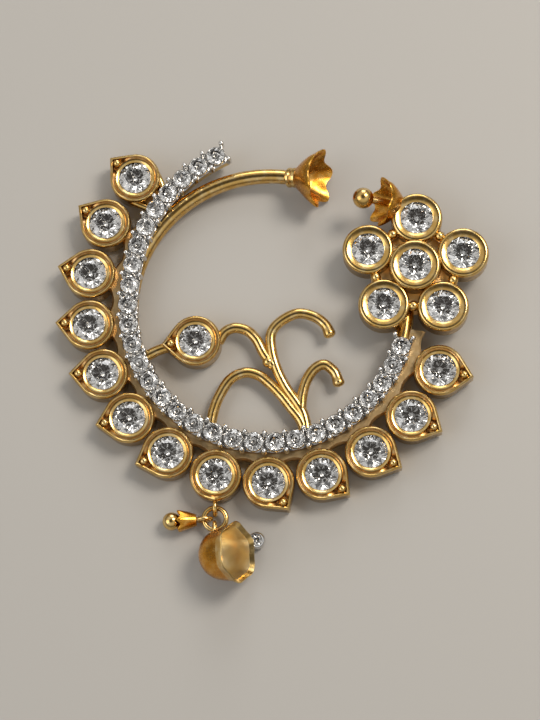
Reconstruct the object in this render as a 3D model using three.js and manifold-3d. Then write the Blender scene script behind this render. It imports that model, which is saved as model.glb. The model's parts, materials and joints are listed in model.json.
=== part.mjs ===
import * as THREE from 'three';
import { mergeVertices } from 'three/addons/utils/BufferGeometryUtils.js';
import { ConvexGeometry } from 'three/addons/geometries/ConvexGeometry.js';
import Module from 'manifold-3d';

// A bridal nose ring in gold-plated brass: an open wire hoop whose two ends carry small flower cups that
// press on the nostril, a prong-set row of white stones along the hoop, pear-shaped bezels round its outside,
// a five-petalled stone flower, scroll work inside, and a small bell drop on a jump ring.
// Millimetres, +Z up. The ring lies on its back, tipped a little because its clasp cups are wider than the
// bezels are deep. The hoop is laid out in its own plane first, with the hoop's centre at zero and the flat
// backs of the bezels at height zero.

const wasm = await Module();
wasm.setup();

// Hoop of round wire
const HOOP_RADIUS = 11.1;
const WIRE_RADIUS = 0.63;
const WIRE_HEIGHT = 0.75;
const HOOP_FREE_END = 82;
const HOOP_FLOWER_END = 364;
const WIRE_SIDES = 10;
const WIRE_STEPS = 48;

// Round stones and the bezels that hold them
const STONE_RADIUS = 1.4;
const STONE_CLEARANCE = 0.08;
const TABLE_SHARE = 0.58;
const CROWN_SHARE = 0.33;
const GIRDLE_SHARE = 0.03;
const PAVILION_SHARE = 0.86;
const SEAT_BOTTOM_SHARE = 0.3;
const BEZEL_WALL = 0.57;
const BEZEL_FLOOR = 0.3;
const BEZEL_LIP = 0.1;
const LIP_RISE = 0.34;
const BEZEL_ROUNDING = 0.2;
const TABLE_SIDES = 8;
const SEAT_SIDES = 10;
const BEZEL_SIDES = 14;
const PEAR_SEGMENTS = 5;

// Pear bezels round the outside of the hoop
const PEAR_FIRST = 135.9;
const PEAR_STEP = 16.93;
const PEAR_REACH = 3.2;
const PEAR_TIP = 2.75;
const HOOKED_PEAR_TIP = 2.12;
const HOOK_BITE = 0.07;
const FIRST_PEAR_STEM = 3.7;
const STEM_NARROWING = 0.8;
const WEB_WIDTH = 1.7;
const WEB_THICKNESS = 0.8;
const WEB_FIRST = 147;
const WEB_LAST = 351;
const WEB_SEGMENTS = 16;

// Row of small prong-set stones
const ROW_OFFSET = 0.1;
const ROW_LAST = 346.5;
const ROW_LEAVES_WIRE = 172;
const ROW_TIP = 106;
const ROW_DRIFT = 2.1;
const ROW_DRIFT_POWER = 1.2;
const ROW_PITCH = 1.69;
const ROW_STONE_RADIUS = 0.72;
const ROW_GAP = 0.1;
const ROW_STEPS = 24;
const ROW_GIRDLE_RISE = 0.07;
const RAIL_WIDTH = 1.5;
const RAIL_THICKNESS = 0.45;
const RAIL_SEAT_WIDTH = 1.2;
const PRONG_RADIUS = 0.2;
const PRONG_RISE = 0.2;
const PRONG_TAPER = 0.8;
const PRONG_SIDES = 4;

// Flower
const FLOWER_X = 11.75;
const FLOWER_Y = 3.05;
const FLOWER_LIFT = 0.8;
const CENTRE_LIFT = 0.35;
const PETAL_COUNT = 5;
const PETAL_FIRST = 88;
const PETAL_OVERLAP = 0.12;
const PETAL_BEAD_RADIUS = 0.42;
const PETAL_BEAD_DEPTH = 0.5;
const FLOWER_PLATE_THICKNESS = 0.7;
const FLOWER_PLATE_SIDES = 12;

// Scroll work inside the hoop
const STRAND_RADIUS = 0.43;
const STRAND_END_RADIUS = 0.5;
const STRAND_SIDES = 8;
const STRAND_STEPS_PER_PLACE = 1.6;
const SCROLL_BEAD_RADIUS = 0.5;
const SCROLL_PEAR_TURN = 187;

// Clasp cups, their collar and the ball
const FREE_CUP_RADIUS = 2.25;
const FREE_CUP_DEPTH = 1.9;
const FIXED_CUP_RADIUS = 1.95;
const FIXED_CUP_DEPTH = 1.7;
const CUP_WALL = 0.3;
const CUP_PETALS = 6;
const CUP_POINT = 0.17;
const CUP_SIDES_PER_PETAL = 3;
const FREE_CUP_LIFT_DEG = 20;
const FIXED_CUP_LIFT_DEG = 24;
const COLLAR_RADIUS = 0.82;
const COLLAR_LENGTH = 1.0;
const COLLAR_STEP = 0.06;
const COLLAR_SIDES = 12;
const JOIN_DEPTH = 0.1;
const CLASP_BALL_RADIUS = 0.85;
const CLASP_POST_RADIUS = 0.3;
const POST_SIDES = 8;
const FIXED_CUP_X = 10.7;
const FIXED_CUP_Y = 8.35;
const FIXED_CUP_TURN = 176;
const FIXED_CUP_HEIGHT = 1.5;
const FOOT_RADIUS = 0.62;
const FOOT_LENGTH = 0.8;
const CLASP_BALL_REACH = 3.4;

// Drop on its jump ring
const LINK_RADIUS = 0.88;
const LINK_WIRE = 0.2;
const EYE_RADIUS = 0.43;
const EYE_WIRE = 0.17;
const RING_SECTION_SIDES = 6;
const EYE_SIDES = 12;
const LINK_SIDES = 16;
const BELL_RADIUS = 2.3;
const BELL_DEPTH = 3.1;
const BELL_WALL = 0.3;
const BELL_FLOOR_RISE = 0.18;
const BELL_RIM_RISE = 0.06;
const BELL_PETALS = 6;
const BELL_POINT = 0.07;
const BELL_SIDES_PER_PETAL = 4;
const BELL_TURN = 4;
const BELL_LIFT_DEG = 33;
const BELL_OFFSET_X = 1.9;
const BELL_OFFSET_Y = -2.85;
const BUD_CUP_RADIUS = 0.85;
const BUD_CUP_BASE = 0.45;
const BUD_CUP_DEPTH = 1.3;
const BUD_CUP_WALL = 0.15;
const BUD_SIDES_PER_PETAL = 2;
const BUD_POST_RADIUS = 0.21;
const BUD_POST_SIDES = 6;
const BUD_BALL_RADIUS = 0.72;
const BUD_REACH = 2.55;
const BUD_TURN = 184;
const DROP_STONE_RADIUS = 0.42;
const DROP_STONE_TURN = 295;
const DROP_STONE_STAND = 0.62;
const DROP_CUP_HEIGHT = 0.8;
const DROP_CUP_WALL = 0.16;
const DROP_CUP_FLOOR = 0.2;
const DROP_SEAT_DEPTH = 0.21;
const DROP_CUP_SIDES = 12;

const WELD = 1e-4;
const SLIVER = 2e-3;
const STEEPEST_SLOPE = 0.3;
const SLOPE_ROUNDS = 24;
const SPHERE_ROWS = 6;
const SPHERE_SIDES = 8;

const bezelOuter = STONE_RADIUS + STONE_CLEARANCE + BEZEL_WALL;
const pavilionDepth = PAVILION_SHARE * STONE_RADIUS;
const girdleHeight = BEZEL_FLOOR + STONE_CLEARANCE + pavilionDepth;
const bezelHeight = girdleHeight + LIP_RISE;
const wireTop = WIRE_HEIGHT + WIRE_RADIUS;
const railBottom = wireTop + ROW_GAP;

// One row for each pear bezel, from the upper left round to the flower: how far its stone stands out from the
// wire, as a share of the pear's reach, and how far its point swings from straight out, counter-clockwise.
const PEARS = [
  { reach: 1.31, swing: 5 },
  { reach: 1.19, swing: -6 },
  { reach: 1.09, swing: -2 },
  { reach: 1.03, swing: -10 },
  { reach: 0.98, swing: -24 },
  { reach: 0.98, swing: -28 },
  { reach: 0.99, swing: -37 },
  { reach: 1.0, swing: 15.6 },
  { reach: 1.01, swing: 36 },
  { reach: 1.02, swing: 36 },
  { reach: 1.05, swing: 28 },
  { reach: 1.08, swing: 11 },
  { reach: 1.12, swing: 10 },
];
const HOOKED_PEAR = 7;

// Section of a row stone, from the middle of its sunken seat up to the middle of its table, as shares of
// its radius.
const ROW_STONE_SECTION = [
  { across: 0, along: -0.4 }, { across: 1, along: -0.4 }, { across: 1, along: 0.05 },
  { across: 0.55, along: 0.4 }, { across: 0, along: 0.4 },
];

// Section of a petalled cup, from its base out to the rim and back inside: how far it has flared from the
// base's radius to the rim's, how many walls it stands in from there, and its share of the depth.
const CUP_SECTION = [
  { flare: 0, walls: 0, along: 0 }, { flare: 0.08, walls: 0, along: 0.25 },
  { flare: 0.35, walls: 0, along: 0.58 }, { flare: 0.75, walls: 0, along: 0.86 },
  { flare: 1, walls: 0, along: 1 }, { flare: 1, walls: 0.4, along: 1.04 },
  { flare: 0.7, walls: 1, along: 0.86 }, { flare: 0.25, walls: 1, along: 0.58 },
];
const CUP_FLOOR_SHARE = 0.36;
const CUP_OPENS_AT = 0.45;

// Outer section of the bell from its foot to its rim, as shares of its radius and depth.
const BELL_SECTION = [
  { across: 0, along: 0 }, { across: 0.38, along: 0.02 }, { across: 0.66, along: 0.16 },
  { across: 0.84, along: 0.4 }, { across: 0.89, along: 0.66 }, { across: 0.93, along: 0.86 },
  { across: 1, along: 1 },
];
const BELL_OPENS_AT = 0.5;

// Scroll strands, each a list of places as shares of the hoop's radius from its centre.
const SCROLLS = {
  pearArm: [
    { right: -0.66, up: -0.28 }, { right: -0.79, up: -0.32 }, { right: -0.94, up: -0.4 },
  ],
  leftCurl: [
    { right: -0.35, up: -0.25 }, { right: -0.31, up: -0.182 }, { right: -0.239, up: -0.15 },
    { right: -0.15, up: -0.17 }, { right: -0.08, up: -0.235 }, { right: -0.024, up: -0.338 },
    { right: 0.045, up: -0.43 },
  ],
  upperHook: [
    { right: 0.45, up: -0.194 }, { right: 0.414, up: -0.122 }, { right: 0.333, up: -0.063 },
    { right: 0.212, up: -0.041 }, { right: 0.09, up: -0.104 }, { right: 0.027, up: -0.19 },
    { right: 0.03, up: -0.31 }, { right: 0.07, up: -0.45 }, { right: 0.14, up: -0.59 },
    { right: 0.212, up: -0.69 }, { right: 0.27, up: -0.79 }, { right: 0.3, up: -0.94 },
  ],
  arch: [
    { right: -0.4, up: -0.9 }, { right: -0.375, up: -0.757 }, { right: -0.333, up: -0.643 },
    { right: -0.261, up: -0.53 }, { right: -0.158, up: -0.48 }, { right: -0.06, up: -0.5 },
    { right: 0.02, up: -0.56 }, { right: 0.1, up: -0.64 }, { right: 0.18, up: -0.74 },
    { right: 0.25, up: -0.83 }, { right: 0.29, up: -0.94 },
  ],
  lowerHook: [
    { right: 0.518, up: -0.554 }, { right: 0.486, up: -0.473 }, { right: 0.414, up: -0.419 },
    { right: 0.342, up: -0.45 }, { right: 0.288, up: -0.532 }, { right: 0.258, up: -0.64 },
    { right: 0.25, up: -0.75 },
  ],
};
const SCROLL_PEAR_PLACE = { right: -0.514, up: -0.266 };
const SCROLL_BEAD_PLACE = { right: 0.01, up: -0.4 };

function radians(degrees) {
  return degrees * Math.PI / 180;
}

function polar(radius, degrees, height) {
  return new THREE.Vector3(radius * Math.cos(radians(degrees)), radius * Math.sin(radians(degrees)), height);
}

// A closed solid from a three.js geometry, its shared corners welded and its empty triangles dropped.
function toSolid(geometry) {
  const bare = geometry.clone();
  bare.deleteAttribute('normal');
  bare.deleteAttribute('uv');
  const welded = mergeVertices(bare, WELD);
  const corners = [];
  for (let first = 0; first < welded.index.count; first += 3) {
    const [a, b, c] = [0, 1, 2].map((step) => welded.index.getX(first + step));
    if (a !== b && b !== c && c !== a) corners.push(a, b, c);
  }
  return new wasm.Manifold(new wasm.Mesh({
    numProp: 3,
    vertProperties: Float32Array.from(welded.attributes.position.array),
    triVerts: Uint32Array.from(corners),
  }));
}

// A geometry from a solid, without the slivers that joining and cutting leave.
function toGeometry(solid) {
  const mesh = solid.simplify(SLIVER).getMesh();
  const geometry = new THREE.BufferGeometry();
  geometry.setAttribute('position', new THREE.BufferAttribute(Float32Array.from(mesh.vertProperties), 3));
  geometry.setIndex(new THREE.BufferAttribute(Uint32Array.from(mesh.triVerts), 1));
  geometry.computeVertexNormals();
  return geometry;
}

function joined(geometries) {
  return geometries.map(toSolid).reduce((whole, next) => whole.add(next));
}

function cut(solid, geometries) {
  return geometries.map(toSolid).reduce((whole, next) => whole.subtract(next), solid);
}

// A body of revolution about +Z from a profile of [radius, height] pairs.
function turned(profile, sides) {
  const points = profile.map(([radius, height]) => new THREE.Vector2(radius, height));
  return new THREE.LatheGeometry(points, sides).rotateX(Math.PI / 2);
}

function wireAlong(curve, radius, sides, steps) {
  const section = new THREE.Shape();
  section.absarc(0, 0, radius, 0, 2 * Math.PI);
  return new THREE.ExtrudeGeometry(section, { steps, extrudePath: curve, curveSegments: sides / 2 });
}

function stripAlong(curve, width, thickness, steps) {
  const section = new THREE.Shape();
  section.moveTo(-thickness / 2, -width / 2);
  section.lineTo(thickness / 2, -width / 2);
  section.lineTo(thickness / 2, width / 2);
  section.lineTo(-thickness / 2, width / 2);
  return new THREE.ExtrudeGeometry(section, { steps, extrudePath: curve });
}

function ball(radius, place) {
  return new THREE.SphereGeometry(radius, SPHERE_SIDES, SPHERE_ROWS).translate(place.x, place.y, place.z);
}

// Turns +Z to a direction and +X as near as it goes to another, then moves to a place.
function aimed(place, direction, sideways) {
  const forward = direction.clone().normalize();
  const across = new THREE.Vector3().crossVectors(forward, sideways).normalize();
  const side = new THREE.Vector3().crossVectors(across, forward);
  return new THREE.Matrix4().makeBasis(side, across, forward).setPosition(place);
}

// Direction in the ring's plane at a turn in degrees, raised out of it by a lift in degrees.
function direction(turn, lift) {
  const flat = Math.cos(radians(lift));
  return polar(flat, turn, Math.sin(radians(lift)));
}

// The hoop's own circle, from one angle to another, at a height.
class HoopArc extends THREE.Curve {
  constructor(firstAngle, lastAngle, height) {
    super();
    Object.assign(this, { firstAngle, lastAngle, height });
  }

  getPoint(share) {
    return polar(HOOP_RADIUS, this.firstAngle + share * (this.lastAngle - this.firstAngle), this.height);
  }
}

// Centre line of the stone row: it follows the wire, then drifts outward to its free tip at the upper left.
class RowCurve extends THREE.Curve {
  constructor(height) {
    super();
    this.height = height;
  }

  getPoint(share) {
    const angle = ROW_TIP + share * (ROW_LAST - ROW_TIP);
    const past = Math.max(0, (ROW_LEAVES_WIRE - angle) / (ROW_LEAVES_WIRE - ROW_TIP));
    return polar(HOOP_RADIUS + ROW_OFFSET + ROW_DRIFT * past ** ROW_DRIFT_POWER, angle, this.height);
  }
}

// Round brilliant: an eight-sided table, a girdle of sixteen sides and a pointed pavilion.
function brilliant(radius) {
  const rings = [
    { share: TABLE_SHARE, height: CROWN_SHARE, sides: TABLE_SIDES, turn: 0.5 },
    { share: 1, height: GIRDLE_SHARE, sides: 2 * TABLE_SIDES, turn: 0 },
    { share: 1, height: -GIRDLE_SHARE, sides: 2 * TABLE_SIDES, turn: 0 },
    { share: 0, height: -PAVILION_SHARE, sides: 1, turn: 0 },
  ];
  const ringPoints = ({ share, height, sides, turn }) => Array.from({ length: sides }, (_, side) => (
    polar(radius * share, 360 * (side + turn) / sides, radius * height)
  ));
  const points = rings.flatMap(ringPoints);
  return new ConvexGeometry(points);
}

// Small stone of the row: eight-sided, with its table, crown and a short seat that sinks into the rail.
function rowStone(radius) {
  const section = ROW_STONE_SECTION.map(({ across, along }) => [across * radius, along * radius]);
  return turned(section, TABLE_SIDES);
}

// Outline of a pear: a round whose two tangents meet at a point straight out along +X.
function pearOutline(radius, reach) {
  const open = Math.acos(Math.min(0.98, radius / reach));
  const outline = new THREE.Shape();
  outline.moveTo(reach, 0);
  outline.lineTo(radius * Math.cos(open), radius * Math.sin(open));
  outline.absarc(0, 0, radius, open, 2 * Math.PI - open, false);
  return outline;
}

function pearBody(radius, reach, height) {
  const rounding = BEZEL_ROUNDING;
  return new THREE.ExtrudeGeometry(pearOutline(radius, reach), {
    depth: height - rounding,
    bevelThickness: rounding / 2,
    bevelSize: rounding,
    bevelOffset: -rounding,
    bevelSegments: 1,
    curveSegments: PEAR_SEGMENTS,
  }).translate(0, 0, rounding / 2);
}

function roundBody(radius, height) {
  const rounding = BEZEL_ROUNDING;
  return turned([[0, 0], [radius - rounding, 0], [radius, rounding], [radius, height - rounding],
    [radius - rounding, height], [0, height]], BEZEL_SIDES);
}

// What a bezel is hollowed by: a cone for the stone's back, a band for its girdle and the opening in the lip.
function seatHollow(bottomRadius) {
  const seat = STONE_RADIUS + STONE_CLEARANCE;
  const top = bezelHeight + BEZEL_WALL;
  return turned([[0, BEZEL_FLOOR], [bottomRadius, BEZEL_FLOOR], [seat, girdleHeight - 2 * STONE_CLEARANCE],
    [seat, girdleHeight + 2 * STONE_CLEARANCE], [STONE_RADIUS - BEZEL_LIP, bezelHeight],
    [STONE_RADIUS - BEZEL_LIP, top], [0, top]], SEAT_SIDES);
}

// Where each pear bezel stands: its stone's centre and the way its point faces.
function pearPlaces() {
  return PEARS.map(({ reach, swing }, index) => {
    const angle = PEAR_FIRST + PEAR_STEP * index;
    return { place: polar(HOOP_RADIUS + PEAR_REACH * reach, angle, 0), turn: angle + swing };
  });
}

const petalRing = 2 * bezelOuter - PETAL_OVERLAP;

function petalPlaces() {
  const centre = new THREE.Vector3(FLOWER_X, FLOWER_Y, FLOWER_LIFT);
  return Array.from({ length: PETAL_COUNT }, (_, index) => (
    polar(petalRing, PETAL_FIRST + 360 * index / PETAL_COUNT, 0).add(centre)
  ));
}

function flowerCentre() {
  return new THREE.Vector3(FLOWER_X, FLOWER_Y, FLOWER_LIFT + CENTRE_LIFT);
}

function hoopPlace({ right, up }, height) {
  return new THREE.Vector3(HOOP_RADIUS * right, HOOP_RADIUS * up, height);
}

function hoopWire() {
  const arc = new HoopArc(HOOP_FREE_END, HOOP_FLOWER_END, WIRE_HEIGHT);
  return wireAlong(arc, WIRE_RADIUS, WIRE_SIDES, WIRE_STEPS);
}

// The strip that carries the stone row.
function rowSeat() {
  const bottom = WIRE_HEIGHT - WEB_THICKNESS / 2;
  return stripAlong(new RowCurve((bottom + wireTop) / 2), RAIL_SEAT_WIDTH, wireTop - bottom, ROW_STEPS);
}

// The flat web between the row and the pears.
function pearWeb() {
  const outline = new THREE.Shape();
  const inner = HOOP_RADIUS + WIRE_RADIUS / 2;
  outline.absarc(0, 0, inner + WEB_WIDTH, radians(WEB_FIRST), radians(WEB_LAST), false);
  outline.absarc(0, 0, inner, radians(WEB_LAST), radians(WEB_FIRST), true);
  const settings = { depth: WEB_THICKNESS, bevelEnabled: false, curveSegments: WEB_SEGMENTS };
  return new THREE.ExtrudeGeometry(outline, settings).translate(0, 0, WIRE_HEIGHT - WEB_THICKNESS / 2);
}

function pearBodies() {
  return pearPlaces().flatMap(({ place, turn }, index) => {
    const tip = index === HOOKED_PEAR ? HOOKED_PEAR_TIP : PEAR_TIP;
    const body = pearBody(bezelOuter, tip, bezelHeight);
    body.rotateZ(radians(turn)).translate(place.x, place.y, place.z);
    if (index > 0) return [body];
    const stem = pearBody(bezelOuter * STEM_NARROWING, FIRST_PEAR_STEM, WIRE_HEIGHT + WEB_THICKNESS / 2);
    stem.rotateZ(radians(PEAR_FIRST + 180)).translate(place.x, place.y, place.z);
    return [body, stem];
  });
}

// The eye under the hooked pear, standing on edge so that the jump ring passes through it lying flat.
function hookPlace() {
  const { place, turn } = pearPlaces()[HOOKED_PEAR];
  const out = polar(HOOKED_PEAR_TIP + EYE_RADIUS - HOOK_BITE, turn, 0);
  return place.clone().add(out).setZ(WIRE_HEIGHT + EYE_WIRE);
}

function eye() {
  return new THREE.TorusGeometry(EYE_RADIUS + EYE_WIRE, EYE_WIRE, RING_SECTION_SIDES, EYE_SIDES);
}

function hookEye() {
  const place = hookPlace();
  return eye().rotateY(Math.PI / 2).translate(place.x, place.y, place.z);
}

function flowerBodies() {
  const centre = flowerCentre();
  const bodies = [...petalPlaces(), centre].map(({ x, y, z }) => (
    roundBody(bezelOuter, bezelHeight).translate(x, y, z)
  ));
  for (let index = 0; index < PETAL_COUNT; index += 1) {
    const angle = PETAL_FIRST + 360 * (index + 0.5) / PETAL_COUNT;
    const between = petalRing * Math.cos(Math.PI / PETAL_COUNT);
    const place = polar(between, angle, bezelHeight - PETAL_BEAD_DEPTH - CENTRE_LIFT);
    bodies.push(ball(PETAL_BEAD_RADIUS, place.add(centre)));
  }
  const plate = turned([[0, 0], [petalRing, 0], [petalRing - WEB_THICKNESS, FLOWER_PLATE_THICKNESS],
    [0, FLOWER_PLATE_THICKNESS]], FLOWER_PLATE_SIDES);
  bodies.push(plate.translate(centre.x, centre.y, FLOWER_LIFT));
  return bodies;
}

function scrollStrand(points) {
  const places = points.map((point) => hoopPlace(point, WIRE_HEIGHT));
  const curve = new THREE.CatmullRomCurve3(places, false, 'centripetal');
  const steps = Math.round(STRAND_STEPS_PER_PLACE * places.length);
  return wireAlong(curve, STRAND_RADIUS, STRAND_SIDES, steps);
}

function scrollBodies() {
  const bodies = Object.values(SCROLLS).map(scrollStrand);
  const ends = [SCROLLS.upperHook[0], SCROLLS.lowerHook[0]];
  ends.forEach((end) => bodies.push(ball(STRAND_END_RADIUS, hoopPlace(end, WIRE_HEIGHT))));
  bodies.push(ball(SCROLL_BEAD_RADIUS, hoopPlace(SCROLL_BEAD_PLACE, WIRE_HEIGHT)));
  const place = hoopPlace(SCROLL_PEAR_PLACE, 0);
  const pear = pearBody(bezelOuter, PEAR_TIP, bezelHeight).rotateZ(radians(SCROLL_PEAR_TURN));
  bodies.push(pear.translate(place.x, place.y, place.z));
  return bodies;
}

// A cup like a trumpet flower, mouth towards +Z, whose rim is drawn out into points.
function petalCup({ radius, depth, base, wall, petals, point, sidesPerPetal }) {
  const section = CUP_SECTION.map(({ flare, walls, along }) => (
    [Math.max(0, base + flare * (radius - base) - walls * wall), along * depth]
  ));
  const profile = [[0, 0], ...section, [0, CUP_FLOOR_SHARE * depth]];
  const geometry = turned(profile, sidesPerPetal * petals);
  const corner = new THREE.Vector3();
  const places = geometry.attributes.position;
  for (let index = 0; index < places.count; index += 1) {
    corner.fromBufferAttribute(places, index);
    const open = Math.max(0, corner.z / depth - CUP_OPENS_AT) / (1 - CUP_OPENS_AT);
    const swell = 1 + point * open * Math.cos(petals * Math.atan2(corner.y, corner.x));
    places.setXYZ(index, corner.x * swell, corner.y * swell, corner.z);
  }
  return geometry;
}

function freeCup() {
  const end = polar(HOOP_RADIUS, HOOP_FREE_END, WIRE_HEIGHT);
  const facing = direction(HOOP_FREE_END - 90, FREE_CUP_LIFT_DEG);
  const up = new THREE.Vector3(0, 1, 0);
  const collar = turned([[0, -JOIN_DEPTH], [COLLAR_RADIUS, -JOIN_DEPTH], [COLLAR_RADIUS, COLLAR_LENGTH],
    [0, COLLAR_LENGTH]], COLLAR_SIDES).applyMatrix4(aimed(end, facing, up));
  const cupBase = end.clone().addScaledVector(facing, COLLAR_LENGTH - CUP_WALL);
  const cup = petalCup({
    radius: FREE_CUP_RADIUS,
    depth: FREE_CUP_DEPTH,
    base: COLLAR_RADIUS + COLLAR_STEP,
    wall: CUP_WALL,
    petals: CUP_PETALS,
    point: CUP_POINT,
    sidesPerPetal: CUP_SIDES_PER_PETAL,
  }).applyMatrix4(aimed(cupBase, facing, up));
  return [collar, cup];
}

function fixedCup() {
  const base = new THREE.Vector3(FIXED_CUP_X, FIXED_CUP_Y, FIXED_CUP_HEIGHT);
  const facing = direction(FIXED_CUP_TURN, FIXED_CUP_LIFT_DEG);
  const placed = aimed(base, facing, new THREE.Vector3(0, 1, 0));
  const cup = petalCup({
    radius: FIXED_CUP_RADIUS,
    depth: FIXED_CUP_DEPTH,
    base: FOOT_RADIUS + COLLAR_STEP,
    wall: CUP_WALL,
    petals: CUP_PETALS,
    point: CUP_POINT,
    sidesPerPetal: CUP_SIDES_PER_PETAL,
  }).applyMatrix4(placed);
  const post = turned([[0, JOIN_DEPTH], [CLASP_POST_RADIUS, JOIN_DEPTH],
    [CLASP_POST_RADIUS, CLASP_BALL_REACH], [0, CLASP_BALL_REACH]], POST_SIDES).applyMatrix4(placed);
  const foot = turned([[0, -FOOT_LENGTH], [FOOT_RADIUS, -FOOT_LENGTH], [FOOT_RADIUS, JOIN_DEPTH],
    [0, JOIN_DEPTH]], COLLAR_SIDES);
  const bead = ball(CLASP_BALL_RADIUS, base.clone().addScaledVector(facing, CLASP_BALL_REACH));
  return [cup, post, foot.applyMatrix4(placed), bead];
}

// Every hollow in the gold: the seats of all the bezels.
function seatHollows() {
  const places = pearPlaces().map(({ place }) => place);
  places.push(hoopPlace(SCROLL_PEAR_PLACE, 0), ...petalPlaces(), flowerCentre());
  return places.map(({ x, y, z }) => seatHollow(SEAT_BOTTOM_SHARE * STONE_RADIUS).translate(x, y, z));
}

function goldFrame() {
  const bodies = [
    hoopWire(), rowSeat(), pearWeb(), ...pearBodies(), hookEye(), ...flowerBodies(), ...scrollBodies(),
    ...freeCup(), ...fixedCup(),
  ];
  return toGeometry(cut(joined(bodies), seatHollows()));
}

function pavedRow() {
  const railMiddle = railBottom + RAIL_THICKNESS / 2;
  const curve = new RowCurve(railMiddle);
  const stoneCount = Math.round(curve.getLength() / ROW_PITCH);
  const girdle = railBottom + RAIL_THICKNESS + ROW_GIRDLE_RISE;
  const bodies = [stripAlong(curve, RAIL_WIDTH, RAIL_THICKNESS, ROW_STEPS)];
  const prongFoot = railBottom + JOIN_DEPTH / 2;
  const prongTop = girdle + PRONG_RISE;
  for (let index = 0; index <= stoneCount; index += 1) {
    const share = index / stoneCount;
    const place = curve.getPointAt(share);
    const along = curve.getTangentAt(share);
    [-1, 1].forEach((side) => {
      const across = new THREE.Vector3(-along.y, along.x, 0).multiplyScalar(side * ROW_STONE_RADIUS);
      const prong = turned([[0, prongFoot], [PRONG_RADIUS, prongFoot],
        [PRONG_TAPER * PRONG_RADIUS, prongTop], [0, prongTop]], PRONG_SIDES);
      bodies.push(prong.translate(place.x + across.x, place.y + across.y, 0));
    });
    if (index === stoneCount) break;
    const stonePlace = curve.getPointAt((index + 0.5) / stoneCount);
    bodies.push(rowStone(ROW_STONE_RADIUS).translate(stonePlace.x, stonePlace.y, girdle));
  }
  return toGeometry(joined(bodies));
}

function link() {
  return toGeometry(toSolid(new THREE.TorusGeometry(LINK_RADIUS, LINK_WIRE, RING_SECTION_SIDES, LINK_SIDES)));
}

// Little cup with a ball in its mouth. It hangs on the jump ring by an eye, which is at zero here, and
// points along +X.
function bud() {
  const placed = aimed(new THREE.Vector3(EYE_RADIUS + EYE_WIRE, 0, 0), new THREE.Vector3(1, 0, 0),
    new THREE.Vector3(0, 1, 0));
  const cup = petalCup({
    radius: BUD_CUP_RADIUS,
    depth: BUD_CUP_DEPTH,
    base: BUD_CUP_BASE,
    wall: BUD_CUP_WALL,
    petals: BELL_PETALS,
    point: CUP_POINT,
    sidesPerPetal: BUD_SIDES_PER_PETAL,
  }).applyMatrix4(placed);
  const length = BUD_REACH - EYE_RADIUS - EYE_WIRE;
  const post = turned([[0, JOIN_DEPTH], [BUD_POST_RADIUS, JOIN_DEPTH], [BUD_POST_RADIUS, length],
    [0, length]], BUD_POST_SIDES).applyMatrix4(placed);
  const bead = ball(BUD_BALL_RADIUS, new THREE.Vector3(BUD_REACH, 0, 0));
  return toGeometry(joined([eye().rotateX(Math.PI / 2), cup, post, bead]));
}

// The bell: a deep cup with a lightly petalled mouth towards +Z and its round foot at zero.
function bellCup() {
  const outer = BELL_SECTION.map(({ across, along }) => [across * BELL_RADIUS, along * BELL_DEPTH]);
  const inner = outer.slice(1, -1).reverse()
    .map(([across, along]) => [across - BELL_WALL, along + BELL_FLOOR_RISE]);
  const rim = [BELL_RADIUS - BELL_FLOOR_RISE, BELL_DEPTH + BELL_RIM_RISE];
  const floor = [0, outer[1][1] + BELL_FLOOR_RISE];
  return turned([...outer, rim, ...inner, floor], BELL_SIDES_PER_PETAL * BELL_PETALS);
}

// Petals of the bell's mouth: each corner near the rim moves out or in with its angle.
function withPetals(geometry) {
  const corner = new THREE.Vector3();
  const places = geometry.attributes.position;
  for (let index = 0; index < places.count; index += 1) {
    corner.fromBufferAttribute(places, index);
    const open = Math.max(0, corner.z / BELL_DEPTH - BELL_OPENS_AT) / (1 - BELL_OPENS_AT);
    const swell = 1 + BELL_POINT * open * Math.cos(BELL_PETALS * Math.atan2(corner.y, corner.x));
    places.setXYZ(index, corner.x * swell, corner.y * swell, corner.z);
  }
  return geometry;
}

// Lays the bell beside the centre of its jump ring, mouth to the right and raised.
function bellPlacement() {
  const facing = direction(BELL_TURN, BELL_LIFT_DEG);
  const mouth = new THREE.Vector3(BELL_OFFSET_X, BELL_OFFSET_Y, 0);
  return aimed(mouth.addScaledVector(facing, -BELL_DEPTH), facing, new THREE.Vector3(0, 1, 0));
}

// How far a geometry has to rise to stand on a floor.
function riseToFloor(geometry, floor) {
  geometry.computeBoundingBox();
  return floor - geometry.boundingBox.min.z;
}

// The cup of the small stone stands upright beside the bell's rim, open at the top, and its floor is solid.
function dropStoneCup() {
  const hollow = DROP_STONE_RADIUS + STONE_CLEARANCE;
  const outer = hollow + DROP_CUP_WALL;
  return turned([[0, 0], [outer, 0], [outer, DROP_CUP_HEIGHT], [hollow, DROP_CUP_HEIGHT],
    [hollow, DROP_CUP_HEIGHT - DROP_SEAT_DEPTH], [0, DROP_CUP_FLOOR]], DROP_CUP_SIDES);
}

// The room above that cup's floor, which the bell's wall stays out of.
function dropStoneRoom() {
  const hollow = DROP_STONE_RADIUS + STONE_CLEARANCE;
  return turned([[0, DROP_CUP_FLOOR], [hollow, DROP_CUP_HEIGHT - DROP_SEAT_DEPTH],
    [hollow, 2 * DROP_CUP_HEIGHT], [0, 2 * DROP_CUP_HEIGHT]], DROP_CUP_SIDES);
}

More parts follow.
